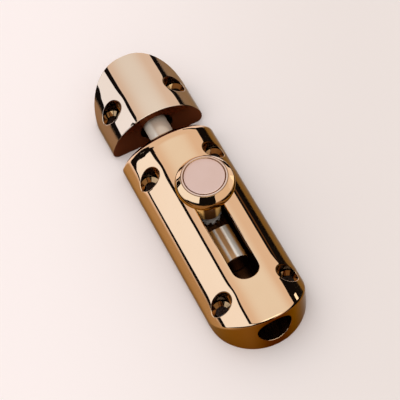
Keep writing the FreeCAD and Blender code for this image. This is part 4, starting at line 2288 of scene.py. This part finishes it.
@dataclass(frozen=True)
class Latch:
    """The whole latch: fixed parts, bolt and what the bolt carries."""

    casing: Casing = Casing()
    keeper: Keeper = Keeper()
    rod: BoltRod = BoltRod()
    knob: Knob = Knob()
    washers: Washers = Washers()
    finishes: Finishes = Finishes()

    def build(self) -> None:
        """Build, dress and place every piece."""
        workshop = Workshop()
        rose, rose_keeper = self.finishes.casing.material(), self.finishes.keeper.material()
        knob_brass, satin = self.finishes.knob.material(), self.finishes.cap.material()
        drawn, plated = self.finishes.rod.material(), self.finishes.washers.material()
        bore_shade, recess_shade = self.finishes.shaded_bores.material(), self.finishes.shaded_recesses.material()
        casing, keeper, rod = self.casing.build(), self.keeper.build(), self.rod.build()
        self.dress(casing, rose, bore_shade, recess_shade)
        self.dress(keeper, rose_keeper, bore_shade, recess_shade)
        self.dress(rod, drawn, bore_shade)
        head, cap = self.knob.build(workshop, knob_brass, satin)
        plain, toothed = self.washers.build(workshop, plated)
        self.settle(casing, Body.FIXED, "casing", Slot.ROSE_BRASS)
        self.settle(keeper, Body.FIXED, "keeper", Slot.ROSE_BRASS)
        self.settle(rod, Body.BOLT, "bolt_rod", Slot.BOLT_STEEL)
        self.settle(head, Body.BOLT, "knob", Slot.KNOB_BRASS)
        self.settle(cap, Body.BOLT, "knob_cap", Slot.CAP_BRASS)
        self.settle(plain, Body.BOLT, "plain_washer", Slot.FASTENER_STEEL)
        self.settle(toothed, Body.BOLT, "tooth_washer", Slot.FASTENER_STEEL)
        screw = FRAME["nodes"]["knob_screw"]
        screw.data.materials.clear()
        self.dress(screw, plated)
        log.info("knob_screw: the solid's own mesh, with a new finish")

    @staticmethod
    def dress(piece: Piece, *finishes: Metal) -> None:
        """Give a piece its finishes, in the order of its faces' numbers."""
        for finish in finishes:
            piece.data.materials.append(finish)

    @staticmethod
    def settle(piece: Piece, body: Body, node: str, slot: Slot) -> None:
        """Put a piece on its body in place of its node.

        Args:
            piece: The finished piece.
            body: Body that carries it.
            node: Node that it stands for.
            slot: Material slot named for the node in the record; not used.
        """
        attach(piece, body.value)
        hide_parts(node)
        log.info("%s: %d faces, on %s", piece.name, len(piece.data.polygons), body.value)


def main() -> None:
    """Build the latch and its studio."""
    logging.basicConfig(level=logging.INFO, format="%(name)s: %(message)s")
    Latch().build()
    Studio().build()
    CameraPlace().build()


if __name__ == "__main__":
    main()
